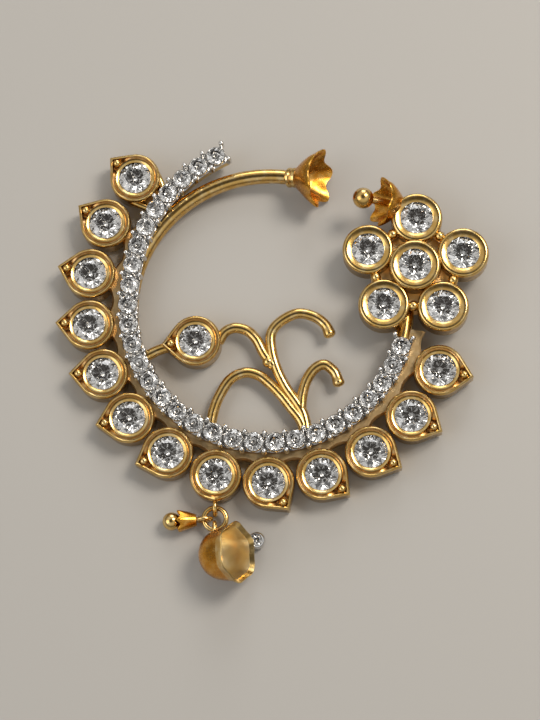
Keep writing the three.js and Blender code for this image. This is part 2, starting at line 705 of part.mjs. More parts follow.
// Lowest plane that a solid can lie on: the slopes along x and y that lift its centre of mass least.
// How high the centre stands above the plane under the solid is a convex function of the two slopes.
function lyingSlopes(geometry) {
  const places = geometry.attributes.position;
  const centre = massCentre(geometry);
  const rise = (slopeX, slopeY) => {
    let lowest = Infinity;
    for (let index = 0; index < places.count; index += 1) {
      const height = places.getZ(index) - slopeX * (places.getX(index) - centre.x)
        - slopeY * (places.getY(index) - centre.y);
      lowest = Math.min(lowest, height);
    }
    return -lowest;
  };
  const bestAlongY = (slopeX) => lowestPoint((slopeY) => rise(slopeX, slopeY));
  const slopeX = lowestPoint((slope) => rise(slope, bestAlongY(slope)));
  return { slopeX, slopeY: bestAlongY(slopeX) };
}

// Where a convex function of one slope is lowest, by thirds.
function lowestPoint(height) {
  let [low, high] = [-STEEPEST_SLOPE, STEEPEST_SLOPE];
  for (let round = 0; round < SLOPE_ROUNDS; round += 1) {
    const third = (high - low) / 3;
    if (height(low + third) < height(high - third)) high -= third;
    else low += third;
  }
  return (low + high) / 2;
}

function massCentre(geometry) {
  const [a, b, c] = [new THREE.Vector3(), new THREE.Vector3(), new THREE.Vector3()];
  const sum = new THREE.Vector3();
  const across = new THREE.Vector3();
  let volume = 0;
  for (let first = 0; first < geometry.index.count; first += 3) {
    [a, b, c].forEach((corner, step) => {
      corner.fromBufferAttribute(geometry.attributes.position, geometry.index.getX(first + step));
    });
    const part = a.dot(across.crossVectors(b, c)) / 6;
    volume += part;
    sum.addScaledVector(a.add(b).add(c), part / 4);
  }
  return sum.divideScalar(volume);
}

const GOLD = new THREE.MeshStandardMaterial({ color: 0xc9a14a, roughness: 0.25, metalness: 1 });
const PAVE = new THREE.MeshStandardMaterial({ color: 0xd9dbdf, roughness: 0.15, metalness: 0.6 });
const CRYSTAL = new THREE.MeshStandardMaterial({ color: 0xeef2f6, roughness: 0.03, metalness: 0 });

function named(name, geometry, material) {
  const mesh = new THREE.Mesh(geometry, material);
  mesh.name = name;
  return mesh;
}

function stoneAt(name, { x, y, z }) {
  const stone = named(name, toGeometry(toSolid(brilliant(STONE_RADIUS))), CRYSTAL);
  stone.position.set(x, y, z + girdleHeight);
  return stone;
}

// The ring in its own plane, then tipped so that it lies on the floor on its cups and bezels.
function ringGroup() {
  const ring = new THREE.Group();
  const frame = named('gold_frame', goldFrame(), GOLD);
  ring.add(frame, named('pave_row', pavedRow(), PAVE));
  pearPlaces().forEach(({ place }, index) => {
    ring.add(stoneAt(`pear_stone_${String(index + 1).padStart(2, '0')}`, place));
  });
  petalPlaces().forEach((place, index) => ring.add(stoneAt(`petal_stone_${index + 1}`, place)));
  ring.add(stoneAt('flower_centre_stone', flowerCentre()));
  ring.add(stoneAt('scroll_stone', hoopPlace(SCROLL_PEAR_PLACE, 0)));
  const { slopeX, slopeY } = lyingSlopes(frame.geometry);
  const under = new THREE.Vector3(-slopeX, -slopeY, 1).normalize();
  ring.quaternion.setFromUnitVectors(under, new THREE.Vector3(0, 0, 1));
  ring.updateMatrixWorld(true);
  ring.position.z = -new THREE.Box3().setFromObject(frame, true).min.z;
  ring.updateMatrixWorld(true);
  return ring;
}

function dropGroup(hook) {
  const drop = new THREE.Group();
  const centre = hook.clone().add(new THREE.Vector3(0, -LINK_RADIUS, 0));
  drop.add(named('drop_link', link(), GOLD));
  const budMesh = named('drop_bud', bud(), GOLD);
  budMesh.position.copy(polar(LINK_RADIUS, BUD_TURN, 0));
  budMesh.rotation.z = radians(BUD_TURN);
  const placed = bellPlacement();
  const bell = withPetals(bellCup()).applyMatrix4(placed);
  const rise = riseToFloor(bell, -centre.z);
  const bellEye = eye().rotateY(Math.PI / 2).translate(0, -LINK_RADIUS, 0);
  const cupPlace = polar(BELL_RADIUS + DROP_STONE_STAND, DROP_STONE_TURN, BELL_DEPTH).applyMatrix4(placed);
  cupPlace.z += rise - DROP_CUP_HEIGHT / 2;
  const stoneCup = dropStoneCup().translate(cupPlace.x, cupPlace.y, cupPlace.z);
  const room = dropStoneRoom().translate(cupPlace.x, cupPlace.y, cupPlace.z);
  const bellParts = cut(joined([bell.translate(0, 0, rise), bellEye, stoneCup]), [room]);
  const stone = named('drop_stone', toGeometry(toSolid(brilliant(DROP_STONE_RADIUS))), CRYSTAL);
  stone.position.copy(cupPlace);
  stone.position.z += DROP_CUP_HEIGHT;
  drop.add(budMesh, named('drop_bell', toGeometry(bellParts), GOLD), stone);
  drop.position.copy(centre);
  return drop;
}

const ring = ringGroup();
const part = new THREE.Group();
part.add(ring, dropGroup(hookPlace().applyMatrix4(ring.matrixWorld)));
part.updateMatrixWorld(true);
const box = new THREE.Box3().setFromObject(part, true);
part.position.set(-(box.min.x + box.max.x) / 2, -(box.min.y + box.max.y) / 2, -box.min.z);

export default part;
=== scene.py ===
"""Bridal nose ring in gold-plated brass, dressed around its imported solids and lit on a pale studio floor.

The ring is laid out in its own plane in millimetres, as a bench jeweller draws it: hoop centre at zero,
backs of the bezels at height zero. One matrix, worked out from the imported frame, then carries every piece
to where it lies.
"""

import json
import logging
import math
import random
from collections.abc import Callable, Iterable, Sequence
from dataclasses import dataclass, field
from enum import Enum, IntEnum
from typing import NamedTuple

import bmesh
import bpy
import numpy as np
from mathutils import Matrix, Vector


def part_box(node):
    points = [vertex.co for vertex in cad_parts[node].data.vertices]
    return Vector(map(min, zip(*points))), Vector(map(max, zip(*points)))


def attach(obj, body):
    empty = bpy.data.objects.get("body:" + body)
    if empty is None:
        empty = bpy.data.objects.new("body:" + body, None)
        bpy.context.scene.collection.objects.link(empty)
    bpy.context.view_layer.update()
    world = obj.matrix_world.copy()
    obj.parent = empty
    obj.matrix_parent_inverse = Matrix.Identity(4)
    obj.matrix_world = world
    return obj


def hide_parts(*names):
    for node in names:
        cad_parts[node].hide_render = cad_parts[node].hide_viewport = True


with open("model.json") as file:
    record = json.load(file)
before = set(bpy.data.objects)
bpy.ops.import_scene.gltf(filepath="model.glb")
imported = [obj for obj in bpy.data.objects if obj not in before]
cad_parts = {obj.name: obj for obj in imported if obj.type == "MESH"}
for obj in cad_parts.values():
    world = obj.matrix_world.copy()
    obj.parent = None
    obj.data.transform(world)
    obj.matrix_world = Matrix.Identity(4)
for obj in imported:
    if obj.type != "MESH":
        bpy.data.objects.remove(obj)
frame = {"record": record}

LOG = logging.getLogger("nose_ring")
MM = 0.001
BODY = "root"
UP = Vector((0.0, 0.0, 1.0))
NORTH = Vector((0.0, 1.0, 0.0))
EAST = Vector((1.0, 0.0, 0.0))

Profile = Sequence[tuple[float, float]]
Section = Sequence[tuple[float, float, float]]
Socket = bpy.types.NodeSocket
Tree = bpy.types.NodeTree
Node = bpy.types.Node
Material = bpy.types.Material


class Slot(Enum):
    """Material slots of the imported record."""

    GOLD = "gold_plate"
    ROW = "stone_row"
    CRYSTAL = "crystal"


class FrameSlot(IntEnum):
    """Places of the soldered body's materials."""

    # RECESS and CUP get darker copies of the plate, as painted shade.
    GOLD, FOIL, RECESS, CUP = range(4)


class RowSlot(IntEnum):
    """Places of the stone row's materials."""

    RHODIUM, STONE, FOIL = range(3)


class BudSlot(IntEnum):
    """Places of the bud's materials."""

    # CUP gets the darker cup gold, as painted shade.
    GOLD, CUP = range(2)


class BellSlot(IntEnum):
    """Places of the bell's materials."""

    # SATIN gets the pale gold as painted light; CUP the darker cup gold as painted shade.
    GOLD, RHODIUM, SATIN, CUP = range(4)


class Shading(Enum):
    """How a mesh takes the light: cut facets stay flat, cast and polished metal is smooth up to a crease."""

    FACETED = 0.0
    CAST = 38.0


def polar(radius: float, degrees: float, height: float = 0.0) -> Vector:
    """Point at a radius in millimetres, an angle from +X in degrees, and a height over the plane."""
    angle = math.radians(degrees)
    return Vector((radius * math.cos(angle), radius * math.sin(angle), height))


def heading(turn: float, lift: float) -> Vector:
    """Unit vector at a turn in the plane and a lift out of it, both in degrees."""
    return polar(math.cos(math.radians(lift)), turn, math.sin(math.radians(lift)))


def aimed(place: Vector, forward: Vector, sideways: Vector) -> Matrix:
    """Matrix that turns +Z to a direction and +X as near as it goes to another, then moves to a place.

    Args:
        place: Where the origin goes.
        forward: Direction that +Z takes.
        sideways: Direction that +X comes nearest to.

    Returns:
        The placing matrix.
    """
    ahead = forward.normalized()
    across = ahead.cross(sideways).normalized()
    side = across.cross(ahead)
    return Matrix.Translation(place) @ Matrix((side, across, ahead)).transposed().to_4x4()


def section(rows: Section, radius: float, height: float) -> list[tuple[float, float]]:
    """Profile from rows of inset from the radius, rise, and share of the height that is added to it."""
    return [(radius - inset, rise + share * height) for inset, rise, share in rows]


@dataclass
class MeshMaker:
    """Gathers corners and faces of one piece, then builds it as a mesh object."""

    corners: list[Vector] = field(default_factory=list)
    faces: list[list[int]] = field(default_factory=list)
    slots: list[int] = field(default_factory=list)
    ball_rows: int = 12
    ball_sides: int = 20
    torus_around: int = 40
    torus_across: int = 14

    def add(self, corners: Iterable[Vector], faces: Iterable[Sequence[int]], slot: int = 0) -> None:
        """Adds corners and the faces between them.

        Args:
            corners: New corners.
            faces: Faces, as places in the new corners.
            slot: Material slot of the faces.
        """
        first = len(self.corners)
        self.corners.extend(Vector(corner) for corner in corners)
        for face in faces:
            self.faces.append([first + place for place in face])
            self.slots.append(slot)

    def loft(self, rings: Sequence[Sequence[Vector]], slot: int = 0) -> None:
        """Adds a skin over rings of corners; a ring of one corner is a point where the skin closes.

        Args:
            rings: Rings of equal count, counter-clockwise about the way they advance.
            slot: Material slot of the skin.
        """
        starts = np.cumsum([0] + [len(ring) for ring in rings]).tolist()
        faces: list[list[int]] = []
        for place, (near, far) in enumerate(zip(rings, rings[1:])):
            a, b = starts[place], starts[place + 1]
            count = max(len(near), len(far))
            for step in range(count):
                after = (step + 1) % count
                if len(near) == 1:
                    faces.append([a, b + after, b + step])
                elif len(far) == 1:
                    faces.append([a + step, a + after, b])
                else:
                    faces.append([a + step, a + after, b + after, b + step])
        self.add([corner for ring in rings for corner in ring], faces, slot)

    def turned(self, profile: Profile, sides: int, placing: Matrix, slot: int = 0,
               shaping: Callable[[Vector], Vector] | None = None) -> None:
        """Adds a body of revolution about +Z.

        Args:
            profile: Pairs of radius and height, outward and upward from the bottom.
            sides: Corners of each ring.
            placing: Matrix that carries the body to its place.
            slot: Material slot.
            shaping: What each corner goes through before it is placed.
        """
        shape = shaping or (lambda corner: corner)
        rings = []
        for radius, height in profile:
            count = 1 if radius < 1e-6 else sides
            rings.append([placing @ shape(polar(radius, 360 * step / sides, height))
                          for step in range(count)])
        self.loft(rings, slot)

    def tube(self, points: Sequence[Vector], radius: Callable[[float], float], sides: int,
             slot: int = 0) -> None:
        """Adds a round wire along points, with domed ends.

        Args:
            points: Places along the wire's centre.
            radius: Radius at a share of the way along.
            sides: Corners of each ring.
            slot: Material slot.
        """
        dome = ((0.0, -0.6), (0.5, -0.522), (0.87, -0.3))
        side = UP
        rings: list[list[Vector]] = []
        last = len(points) - 1
        for place, point in enumerate(points):
            ahead = (points[min(last, place + 1)] - points[max(0, place - 1)]).normalized()
            side = (side - ahead * side.dot(ahead)).normalized()
            across = ahead.cross(side)
            size = radius(place / last)
            turns = [side * math.cos(math.tau * step / sides) + across * math.sin(math.tau * step / sides)
                     for step in range(sides)]
            bands = [(1.0, 0.0)]
            if place == 0:
                bands = [*dome, *bands]
            if place == last:
                bands += [(share, -along) for share, along in reversed(dome)]
            for share, along in bands:
                around = turns if share else turns[:1]
                rings.append([point + ahead * (along * size) + turn * (share * size) for turn in around])
        self.loft(rings, slot)

    def ball(self, place: Vector, radius: float, slot: int = 0) -> None:
        """Adds a round bead.

        Args:
            place: Its centre.
            radius: Its radius.
            slot: Material slot.
        """
        angles = [math.pi * row / self.ball_rows for row in range(1, self.ball_rows)]
        rows = [(radius * math.sin(angle), -radius * math.cos(angle)) for angle in angles]
        profile = [(0.0, -radius), *rows, (0.0, radius)]
        self.turned(profile, self.ball_sides, Matrix.Translation(place), slot)

    def torus(self, radius: float, wire: float, placing: Matrix, slot: int = 0) -> None:
        """Adds a closed ring of round wire about +Z.

        Args:
            radius: Radius of the wire's centre.
            wire: Radius of the wire.
            placing: Matrix that carries it to its place.
            slot: Material slot.
        """
        around, across = self.torus_around, self.torus_across
        corners, faces = [], []
        for step in range(around):
            here, after = step * across, (step + 1) % around * across
            for side in range(across):
                angle = math.tau * side / across
                beside = (side + 1) % across
                corners.append(placing @ polar(radius + wire * math.cos(angle), 360 * step / around,
                                               wire * math.sin(angle)))
                faces.append([here + side, after + side, after + beside, here + beside])
        self.add(corners, faces, slot)

    def run(self, sections: Sequence[Sequence[Vector]], slot: int = 0) -> None:
        """Adds a bar through sections, closed at both ends.

        Args:
            sections: Corners of each section, all of the same count.
            slot: Material slot.
        """
        sides, last = len(sections[0]), len(sections) - 1
        faces = [list(range(sides)), [last * sides + side for side in reversed(range(sides))]]
        for place in range(last):
            here, there = place * sides, (place + 1) * sides
            for side in range(sides):
                after = (side + 1) % sides
                faces.append([here + side, there + side, there + after, here + after])
        self.add([corner for corners in sections for corner in corners], faces, slot)

    def hull(self, points: Iterable[Vector], slot: int = 0) -> None:
        """Adds the flat-faced hull of points.

        Args:
            points: Points, all of which are corners of the hull.
            slot: Material slot.
        """
        work = bmesh.new()
        for point in points:
            work.verts.new(point)
        bmesh.ops.convex_hull(work, input=work.verts)
        bmesh.ops.dissolve_limit(work, angle_limit=math.radians(0.5), verts=work.verts, edges=work.edges)
        work.verts.index_update()
        self.add([corner.co.copy() for corner in work.verts],
                 [[corner.index for corner in face.verts] for face in work.faces], slot)
        work.free()

    def build(self, name: str, node: str, placing: Matrix, materials: Sequence[Material], slot: Slot,
              shading: Shading = Shading.CAST, cut_slots: tuple[int, ...] = ()) -> None:
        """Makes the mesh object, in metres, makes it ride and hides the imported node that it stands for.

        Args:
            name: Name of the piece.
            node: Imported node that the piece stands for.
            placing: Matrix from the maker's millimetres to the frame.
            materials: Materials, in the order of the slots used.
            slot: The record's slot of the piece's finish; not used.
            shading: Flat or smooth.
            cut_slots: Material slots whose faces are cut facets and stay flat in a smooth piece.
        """
        mesh = bpy.data.meshes.new(name)
        mesh.from_pydata([tuple(placing @ corner) for corner in self.corners], [], self.faces)
        mesh.validate()
        if shading is Shading.CAST:
            mesh.set_sharp_from_angle(angle=math.radians(shading.value))
        smooth = [shading is Shading.CAST and used not in cut_slots for used in self.slots]
        mesh.polygons.foreach_set("use_smooth", smooth)
        for material in materials:
            mesh.materials.append(material)
        if len(materials) > 1:
            mesh.polygons.foreach_set("material_index", self.slots)
        mesh.update()
        piece = bpy.data.objects.new(name, mesh)
        bpy.context.scene.collection.objects.link(piece)
        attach(piece, BODY)
        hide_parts(node)
        places = np.array([corner.co for corner in mesh.vertices]) / MM
        LOG.info("%s: %d faces, %s to %s mm", name, len(mesh.polygons),
                 places.min(axis=0).round(2), places.max(axis=0).round(2))


def srgb(hex_code: str) -> tuple[float, float, float, float]:
    """Linear colour of an sRGB hex value.

    Args:
        hex_code: Six hex digits.

    Returns:
        Linear red, green, blue and an alpha of one.
    """
    parts = [int(hex_code[place:place + 2], 16) / 255 for place in (0, 2, 4)]
    red, green, blue = (part / 12.92 if part <= 0.04045 else ((part + 0.055) / 1.055) ** 2.4
                        for part in parts)
    return red, green, blue, 1.0


def find_socket(sockets: Iterable[Socket], name: str) -> Socket | None:
    """Socket with an identifier, as the colours of a mix node need, or else the first with that name."""
    found = [socket for socket in sockets if socket.identifier == name]
    return next(iter(found + [socket for socket in sockets if socket.name == name]), None)


def add_node(tree: Tree, kind: str, settings: dict[str, object] | None = None,
             links: dict[str, Socket] | None = None) -> Node:
    """Adds a node, sets its properties and input values, and links its inputs.

    Args:
        tree: Tree that gets the node.
        kind: Blender's type name of the node.
        settings: Property or input names with their values.
        links: Input names with the sockets that feed them.

    Returns:
        The new node.
    """
    node = tree.nodes.new(kind)
    for name, value in (settings or {}).items():
        socket = find_socket(node.inputs, name)
        if socket:
            socket.default_value = value
        else:
            setattr(node, name, value)
    for name, source in (links or {}).items():
        tree.links.new(source, find_socket(node.inputs, name))
    return node


def repeats(size_mm: float) -> float:
    """Scale of a pattern whose clouds lie a real distance apart, in millimetres."""
    return 1 / (size_mm * MM)


@dataclass(frozen=True)
class Finish:
    """What all finishes have: a name, and a material made from it."""

    name: str = ""

    def make(self) -> Material:
        """Builds the node material.

        Returns:
            The material.
        """
        material = bpy.data.materials.new(self.name)
        material.use_nodes = True
        tree = material.node_tree
        tree.nodes.clear()
        shader = self.dress(tree, add_node(tree, "ShaderNodeTexCoord").outputs["Object"])
        add_node(tree, "ShaderNodeOutputMaterial", None, {"Surface": shader.outputs["BSDF"]})
        return material

    def dress(self, tree: Tree, place: Socket) -> Node:
        """Adds the finish's own nodes.

        Args:
            tree: Tree that gets the nodes.
            place: Coordinates on the piece.

        Returns:
            The shader.
        """
        raise NotImplementedError


@dataclass(frozen=True)
class GoldPlatedBrass(Finish):
    """Yellow gold electroplate on cast and tumbled brass.

    The eye gets a warm mirror that is a little soft: tumbling leaves a fine orange-peel, so highlights
    break into short streaks, and the plate is paler where it is rubbed; hollows get painted shade, darker and
    redder.
    """

    name: str = "gold_plated_cast_brass"
    plate: str = "DDBB74"
    rubbed: str = "F1DEB0"
    # The recess colour is painted shade: darker and redder, laid into hollows by their pointiness.
    recess: str = "BE8C3C"
    polished: float = 0.14
    tumbled: float = 0.26
    # Real orange-peel is finer, too fine to show in the render, so it is drawn as coarse as it needs to be.
    peel_mm: float = 0.55
    peel_detail: float = 3.0
    peel_depth_mm: float = 0.007
    peel_strength: float = 0.5
    grain_mm: float = 0.12
    hollow: float = 0.44
    edge: float = 0.58
    rubbed_from: float = 0.45
    rubbed_to: float = 0.75
    rubbed_share: float = 0.55

    def dress(self, tree: Tree, place: Socket) -> Node:
        """Adds the plate's colour by wear and painted shade in hollows, its uneven polish and its
        orange-peel.

        Args:
            tree: Tree that gets the nodes.
            place: Coordinates on the piece.

        Returns:
            The shader.
        """
        peel = add_node(tree, "ShaderNodeTexNoise",
                        {"Scale": repeats(self.peel_mm), "Detail": self.peel_detail}, {"Vector": place})
        grain = add_node(tree, "ShaderNodeTexNoise", {"Scale": repeats(self.grain_mm)}, {"Vector": place})
        wear = add_node(tree, "ShaderNodeNewGeometry")
        # Painted shade: hollows, found by pointiness, go from the plate colour to the recess colour.
        edge = add_node(tree, "ShaderNodeMapRange", {"From Min": self.hollow, "From Max": self.edge},
                        {"Value": wear.outputs["Pointiness"]})
        low = add_node(tree, "ShaderNodeMix",
                       {"data_type": "RGBA", "A_Color": srgb(self.recess), "B_Color": srgb(self.plate)},
                       {"Factor_Float": edge.outputs["Result"]})
        patch = add_node(tree, "ShaderNodeMapRange",
                         {"From Min": self.rubbed_from, "From Max": self.rubbed_to,
                          "To Max": self.rubbed_share},
                         {"Value": peel.outputs["Fac"]})
        high = add_node(tree, "ShaderNodeMix", {"data_type": "RGBA", "B_Color": srgb(self.rubbed)},
                        {"Factor_Float": patch.outputs["Result"],
                         "A_Color": find_socket(low.outputs, "Result_Color")})
        rough = add_node(tree, "ShaderNodeMapRange", {"To Min": self.polished, "To Max": self.tumbled},
                         {"Value": grain.outputs["Fac"]})
        bump = add_node(tree, "ShaderNodeBump",
                        {"Strength": self.peel_strength, "Distance": self.peel_depth_mm * MM},
                        {"Height": peel.outputs["Fac"]})
        return add_node(tree, "ShaderNodeBsdfPrincipled", {"Metallic": 1.0},
                        {"Base Color": find_socket(high.outputs, "Result_Color"),
                         "Roughness": rough.outputs["Result"], "Normal": bump.outputs["Normal"]})


# Plate in the recesses of the web is never rubbed by polishing, so it is duller; its browner colour is
# painted shade.
SHADED_RECESS_GOLD = GoldPlatedBrass("gold_plate_painted_shade_in_recesses", "DDBB86", "EDD5AA", "C49A5C", 0.26, 0.4)
# The cups and the bell's wall are pressed from sheet; their darker, redder orange is painted shade, also laid
# on the bell's floor.
SHADED_PRESSED_GOLD = GoldPlatedBrass("gold_plate_painted_shade_on_pressed_cups", "DDA23C", "EFC474", "A8661A", 0.2, 0.34)
# Inside the bell the plate is satin; its pale cream colour is painted light, for the lit inside of the mouth.
SATIN_LIT_GOLD = GoldPlatedBrass("satin_gold_inside_bell", "F1E1BC", "F8EFD8", "E6D2A2", 0.28, 0.4)


@dataclass(frozen=True)
class RhodiumPlate(Finish):
    """Rhodium flash on the prongs: a hard cool white metal, so the row reads silver against the gold."""

    name: str = "rhodium_plate"
    white: str = "F1F0EE"
    shade: str = "BDBBB8"
    roughness: float = 0.17
    mottle_mm: float = 0.5
    mottle_detail: float = 3.0
    dent_depth_mm: float = 0.01
    dent_strength: float = 0.3

    def dress(self, tree: Tree, place: Socket) -> Node:
        """Adds the metal's mottle and its small dents.

        Args:
            tree: Tree that gets the nodes.
            place: Coordinates on the piece.

        Returns:
            The shader.
        """
        mottle = add_node(tree, "ShaderNodeTexNoise",
                          {"Scale": repeats(self.mottle_mm), "Detail": self.mottle_detail}, {"Vector": place})
        tint = add_node(tree, "ShaderNodeMix",
                        {"data_type": "RGBA", "A_Color": srgb(self.shade), "B_Color": srgb(self.white)},
                        {"Factor_Float": mottle.outputs["Fac"]})
        dents = add_node(tree, "ShaderNodeBump",
                         {"Strength": self.dent_strength, "Distance": self.dent_depth_mm * MM},
                         {"Height": mottle.outputs["Fac"]})
        return add_node(tree, "ShaderNodeBsdfPrincipled", {"Metallic": 1.0, "Roughness": self.roughness},
                        {"Base Color": find_socket(tint.outputs, "Result_Color"),
                         "Normal": dents.outputs["Normal"]})


@dataclass(frozen=True)
class StoneFoil(Finish):
    """Silvered backing under the stones: it throws light back up through the facets, greyer in places."""

    name: str = "silvered_stone_foil"
    bright: str = "EDEEF0"
    dull: str = "A9A7A4"
    roughness: float = 0.22
    crease_mm: float = 0.7

    def dress(self, tree: Tree, place: Socket) -> Node:
        """Adds the foil's bright and dull creases.

        Args:
            tree: Tree that gets the nodes.
            place: Coordinates on the piece.

        Returns:
            The shader.
        """
        crease = add_node(tree, "ShaderNodeTexNoise", {"Scale": repeats(self.crease_mm)}, {"Vector": place})
        tint = add_node(tree, "ShaderNodeMix",
                        {"data_type": "RGBA", "A_Color": srgb(self.dull), "B_Color": srgb(self.bright)},
                        {"Factor_Float": crease.outputs["Fac"]})
        return add_node(tree, "ShaderNodeBsdfPrincipled", {"Metallic": 1.0, "Roughness": self.roughness},
                        {"Base Color": find_socket(tint.outputs, "Result_Color")})


@dataclass(frozen=True)
class CubicZirconia(Finish):
    """Clear cubic zirconia, cut and polished: high index, so each facet is a bright or a dark window."""

    name: str = "cubic_zirconia"
    body: str = "FAF8F4"
    haze: str = "E2DFDA"
    index: float = 2.16
    haze_mm: float = 0.8

    def dress(self, tree: Tree, place: Socket) -> Node:
        """Adds the stone's faint haze.

        Args:
            tree: Tree that gets the nodes.
            place: Coordinates on the piece.

        Returns:
            The shader.
        """
        haze = add_node(tree, "ShaderNodeTexNoise", {"Scale": repeats(self.haze_mm)}, {"Vector": place})
        tint = add_node(tree, "ShaderNodeMix",
                        {"data_type": "RGBA", "A_Color": srgb(self.body), "B_Color": srgb(self.haze)},
                        {"Factor_Float": haze.outputs["Fac"]})
        return add_node(tree, "ShaderNodeBsdfPrincipled",
                        {"Roughness": 0.0, "IOR": self.index, "Transmission Weight": 1.0},
                        {"Base Color": find_socket(tint.outputs, "Result_Color")})


@dataclass(frozen=True)
class StudioFloor(Finish):
    """Matt pale card under the ring, with the faint tooth of paper."""

    name: str = "studio_floor"
    card: str = "ABA8A3"
    roughness: float = 0.55
    # Real paper's tooth is finer, too fine to show in the render, so it is drawn as coarse as it needs to be.
    tooth_mm: float = 0.6
    tooth_depth_mm: float = 0.02
    tooth_strength: float = 0.05

    def dress(self, tree: Tree, place: Socket) -> Node:
        """Adds the card's tooth.

        Args:
            tree: Tree that gets the nodes.
            place: Coordinates on the piece.

        Returns:
            The shader.
        """
        tooth = add_node(tree, "ShaderNodeTexNoise", {"Scale": repeats(self.tooth_mm)}, {"Vector": place})
        bump = add_node(tree, "ShaderNodeBump",
                        {"Strength": self.tooth_strength, "Distance": self.tooth_depth_mm * MM},
                        {"Height": tooth.outputs["Fac"]})
        return add_node(tree, "ShaderNodeBsdfPrincipled",
                        {"Base Color": srgb(self.card), "Roughness": self.roughness},
                        {"Normal": bump.outputs["Normal"]})


@dataclass(frozen=True)
class Finishes:
    """The finishes that the pieces share."""

    gold: Material
    # Darker and paler copies of the plate follow: painted shade and painted light.
    recess_shade_gold: Material
    cup_shade_gold: Material
    satin_lit_gold: Material
    rhodium: Material
    foil: Material
    stone: Material


@dataclass
class StoneCut:
    """Round brilliant of 57 facets, as shares of its radius."""

    table: float = 0.56
    crown: float = 0.33
    star: float = 0.8
    star_height: float = 0.19
    girdle: float = 0.025
    lower: float = 0.24
    lower_height: float = 0.7
    pavilion: float = 0.86
    repeat: float = 45.0

    def points(self, radius: float, placing: Matrix, spin: float) -> list[Vector]:
        """Corners of the cut, with the girdle at zero.

        Args:
            radius: Radius of the girdle.
            placing: Matrix that carries the stone to its place.
            spin: Turn of the stone in its seat, in degrees.

        Returns:
            The corners.
        """
        rings = [
            (self.table, self.crown, 8, 0.5), (self.star, self.star_height, 8, 0.0),
            (1.0, self.girdle, 16, 0.0), (1.0, -self.girdle, 16, 0.0),
            (self.lower, -self.lower_height, 8, 0.5), (0.0, -self.pavilion, 1, 0.0),
        ]
        return [placing @ polar(radius * share, spin + 360 * (side + turn) / count, radius * height)
                for share, height, count, turn in rings for side in range(count)]


def cut_off(points: Iterable[Vector], lowest: float) -> list[Vector]:
    """Corners of a stone that ends flat over its foil, none lower than a height."""
    return [Vector((point.x, point.y, max(lowest, point.z))) for point in points]


@dataclass
class Hoop:
    """The round wire, its sizes shared by all that is soldered to it."""

    radius: float = 11.1
    wire: float = 0.63
    height: float = 0.75
    free_end: float = 82.0
    flower_end: float = 364.0
    slimming: float = 0.07
    slim_stretch: float = 1 / 6
    steps: int = 220
    sides: int = 24

    @property
    def top(self) -> float:
        """Height of the wire's top."""
        return self.height + self.wire

    def at(self, right: float, up: float, height: float | None = None) -> Vector:
        """Place given as shares of the hoop's radius from its centre."""
        return Vector((self.radius * right, self.radius * up, self.height if height is None else height))

    def thickness(self, share: float) -> float:
        """Radius of the wire at a share of its length from the free end."""
        slim = self.slimming * (1 - min(1.0, share / self.slim_stretch))
        return self.wire * (1 - slim)

    def build(self, maker: MeshMaker) -> None:
        """Adds the wire, which thins a little towards its free end.

        Args:
            maker: Mesh that gets the wire.
        """
        sweep = self.flower_end - self.free_end
        points = [polar(self.radius, self.free_end + sweep * step / self.steps, self.height)
                  for step in range(self.steps + 1)]
        maker.tube(points, self.thickness, self.sides)


# Rows from the back up: inset from the bezel's outer radius, rise, share of the bezel's height.
ROUND_WALL: Section = (
    (0.22, 0.0, 0), (0.06, 0.08, 0), (0.0, 0.3, 0), (0.05, -0.5, 1), (0.0, -0.32, 1), (0.04, -0.14, 1),
    (0.14, -0.03, 1), (0.27, 0.0, 1), (0.42, -0.03, 1),
)
ROUND_LIP: Section = ((-0.06, -0.1, 1), (0.0, -0.14, 1))
PEAR_WALL: Section = (
    (0.2, 0.0, 0), (0.05, 0.08, 0), (0.0, 0.3, 0), (0.04, -0.5, 1), (0.0, -0.3, 1), (0.03, -0.14, 1),
    (0.1, -0.04, 1), (0.16, -0.01, 1),
)
# Rows from the recess in to the stone: inset from the collar, rise from the rim, share of the recess's depth.
PEAR_COLLAR: Section = (
    (-0.04, -0.08, 1.0), (0.0, -0.04, 0.35), (0.08, 0.0, 0.0), (0.2, -0.02, 0.0), (0.34, -0.12, 0.0),
)


@dataclass
class Bezel:
    """Closed cup for one round stone, with the sizes that stone and seat share."""

    stone: float = 1.4
    clearance: float = 0.08
    wall: float = 0.57
    floor: float = 0.3
    lip: float = 0.1
    lip_rise: float = 0.34
    lip_drop: float = 0.1
    ledge: tuple[float, float] = (0.1, -0.08)
    pavilion: float = 0.86
    foil_foot: float = 0.3
    foil_rise: float = 0.05
    sides: int = 56

    @property
    def outer(self) -> float:
        """Outer radius of the bezel."""
        return self.stone + self.clearance + self.wall

    @property
    def mouth(self) -> float:
        """Radius of the lip that is pressed over the stone."""
        return self.stone - self.lip

    @property
    def girdle(self) -> float:
        """Height of the stone's girdle above the bezel's back."""
        return self.floor + self.clearance + self.pavilion * self.stone

    @property
    def height(self) -> float:
        """Height of the rim above the back."""
        return self.girdle + self.lip_rise

    def seat(self) -> list[tuple[float, float]]:
        """Inside of the cup, from the lip down to its middle.

        Returns:
            The foil's profile, as pairs of radius and height.
        """
        ledge = [(self.stone + 0.5 * self.clearance, self.girdle + rise) for rise in self.ledge]
        foot = (self.foil_foot * self.stone, self.floor + self.foil_rise)
        return [(self.mouth, self.height - self.lip_drop), *ledge, foot, (0.0, self.floor)]

    def round_cup(self, maker: MeshMaker, place: Vector) -> None:
        """Adds a round bezel with a rolled rim.

        Args:
            maker: Mesh that gets the bezel.
            place: Centre of its back.
        """
        outside = [(0.0, 0.0), *section(ROUND_WALL, self.outer, self.height),
                   *section(ROUND_LIP, self.mouth, self.height)]
        maker.turned(outside, self.sides, Matrix.Translation(place))
        maker.turned(self.seat(), self.sides, Matrix.Translation(place), FrameSlot.FOIL)

    def stone_place(self, place: Vector) -> Vector:
        """Place of the girdle's centre for a bezel whose back is at a place."""
        return place + UP * self.girdle


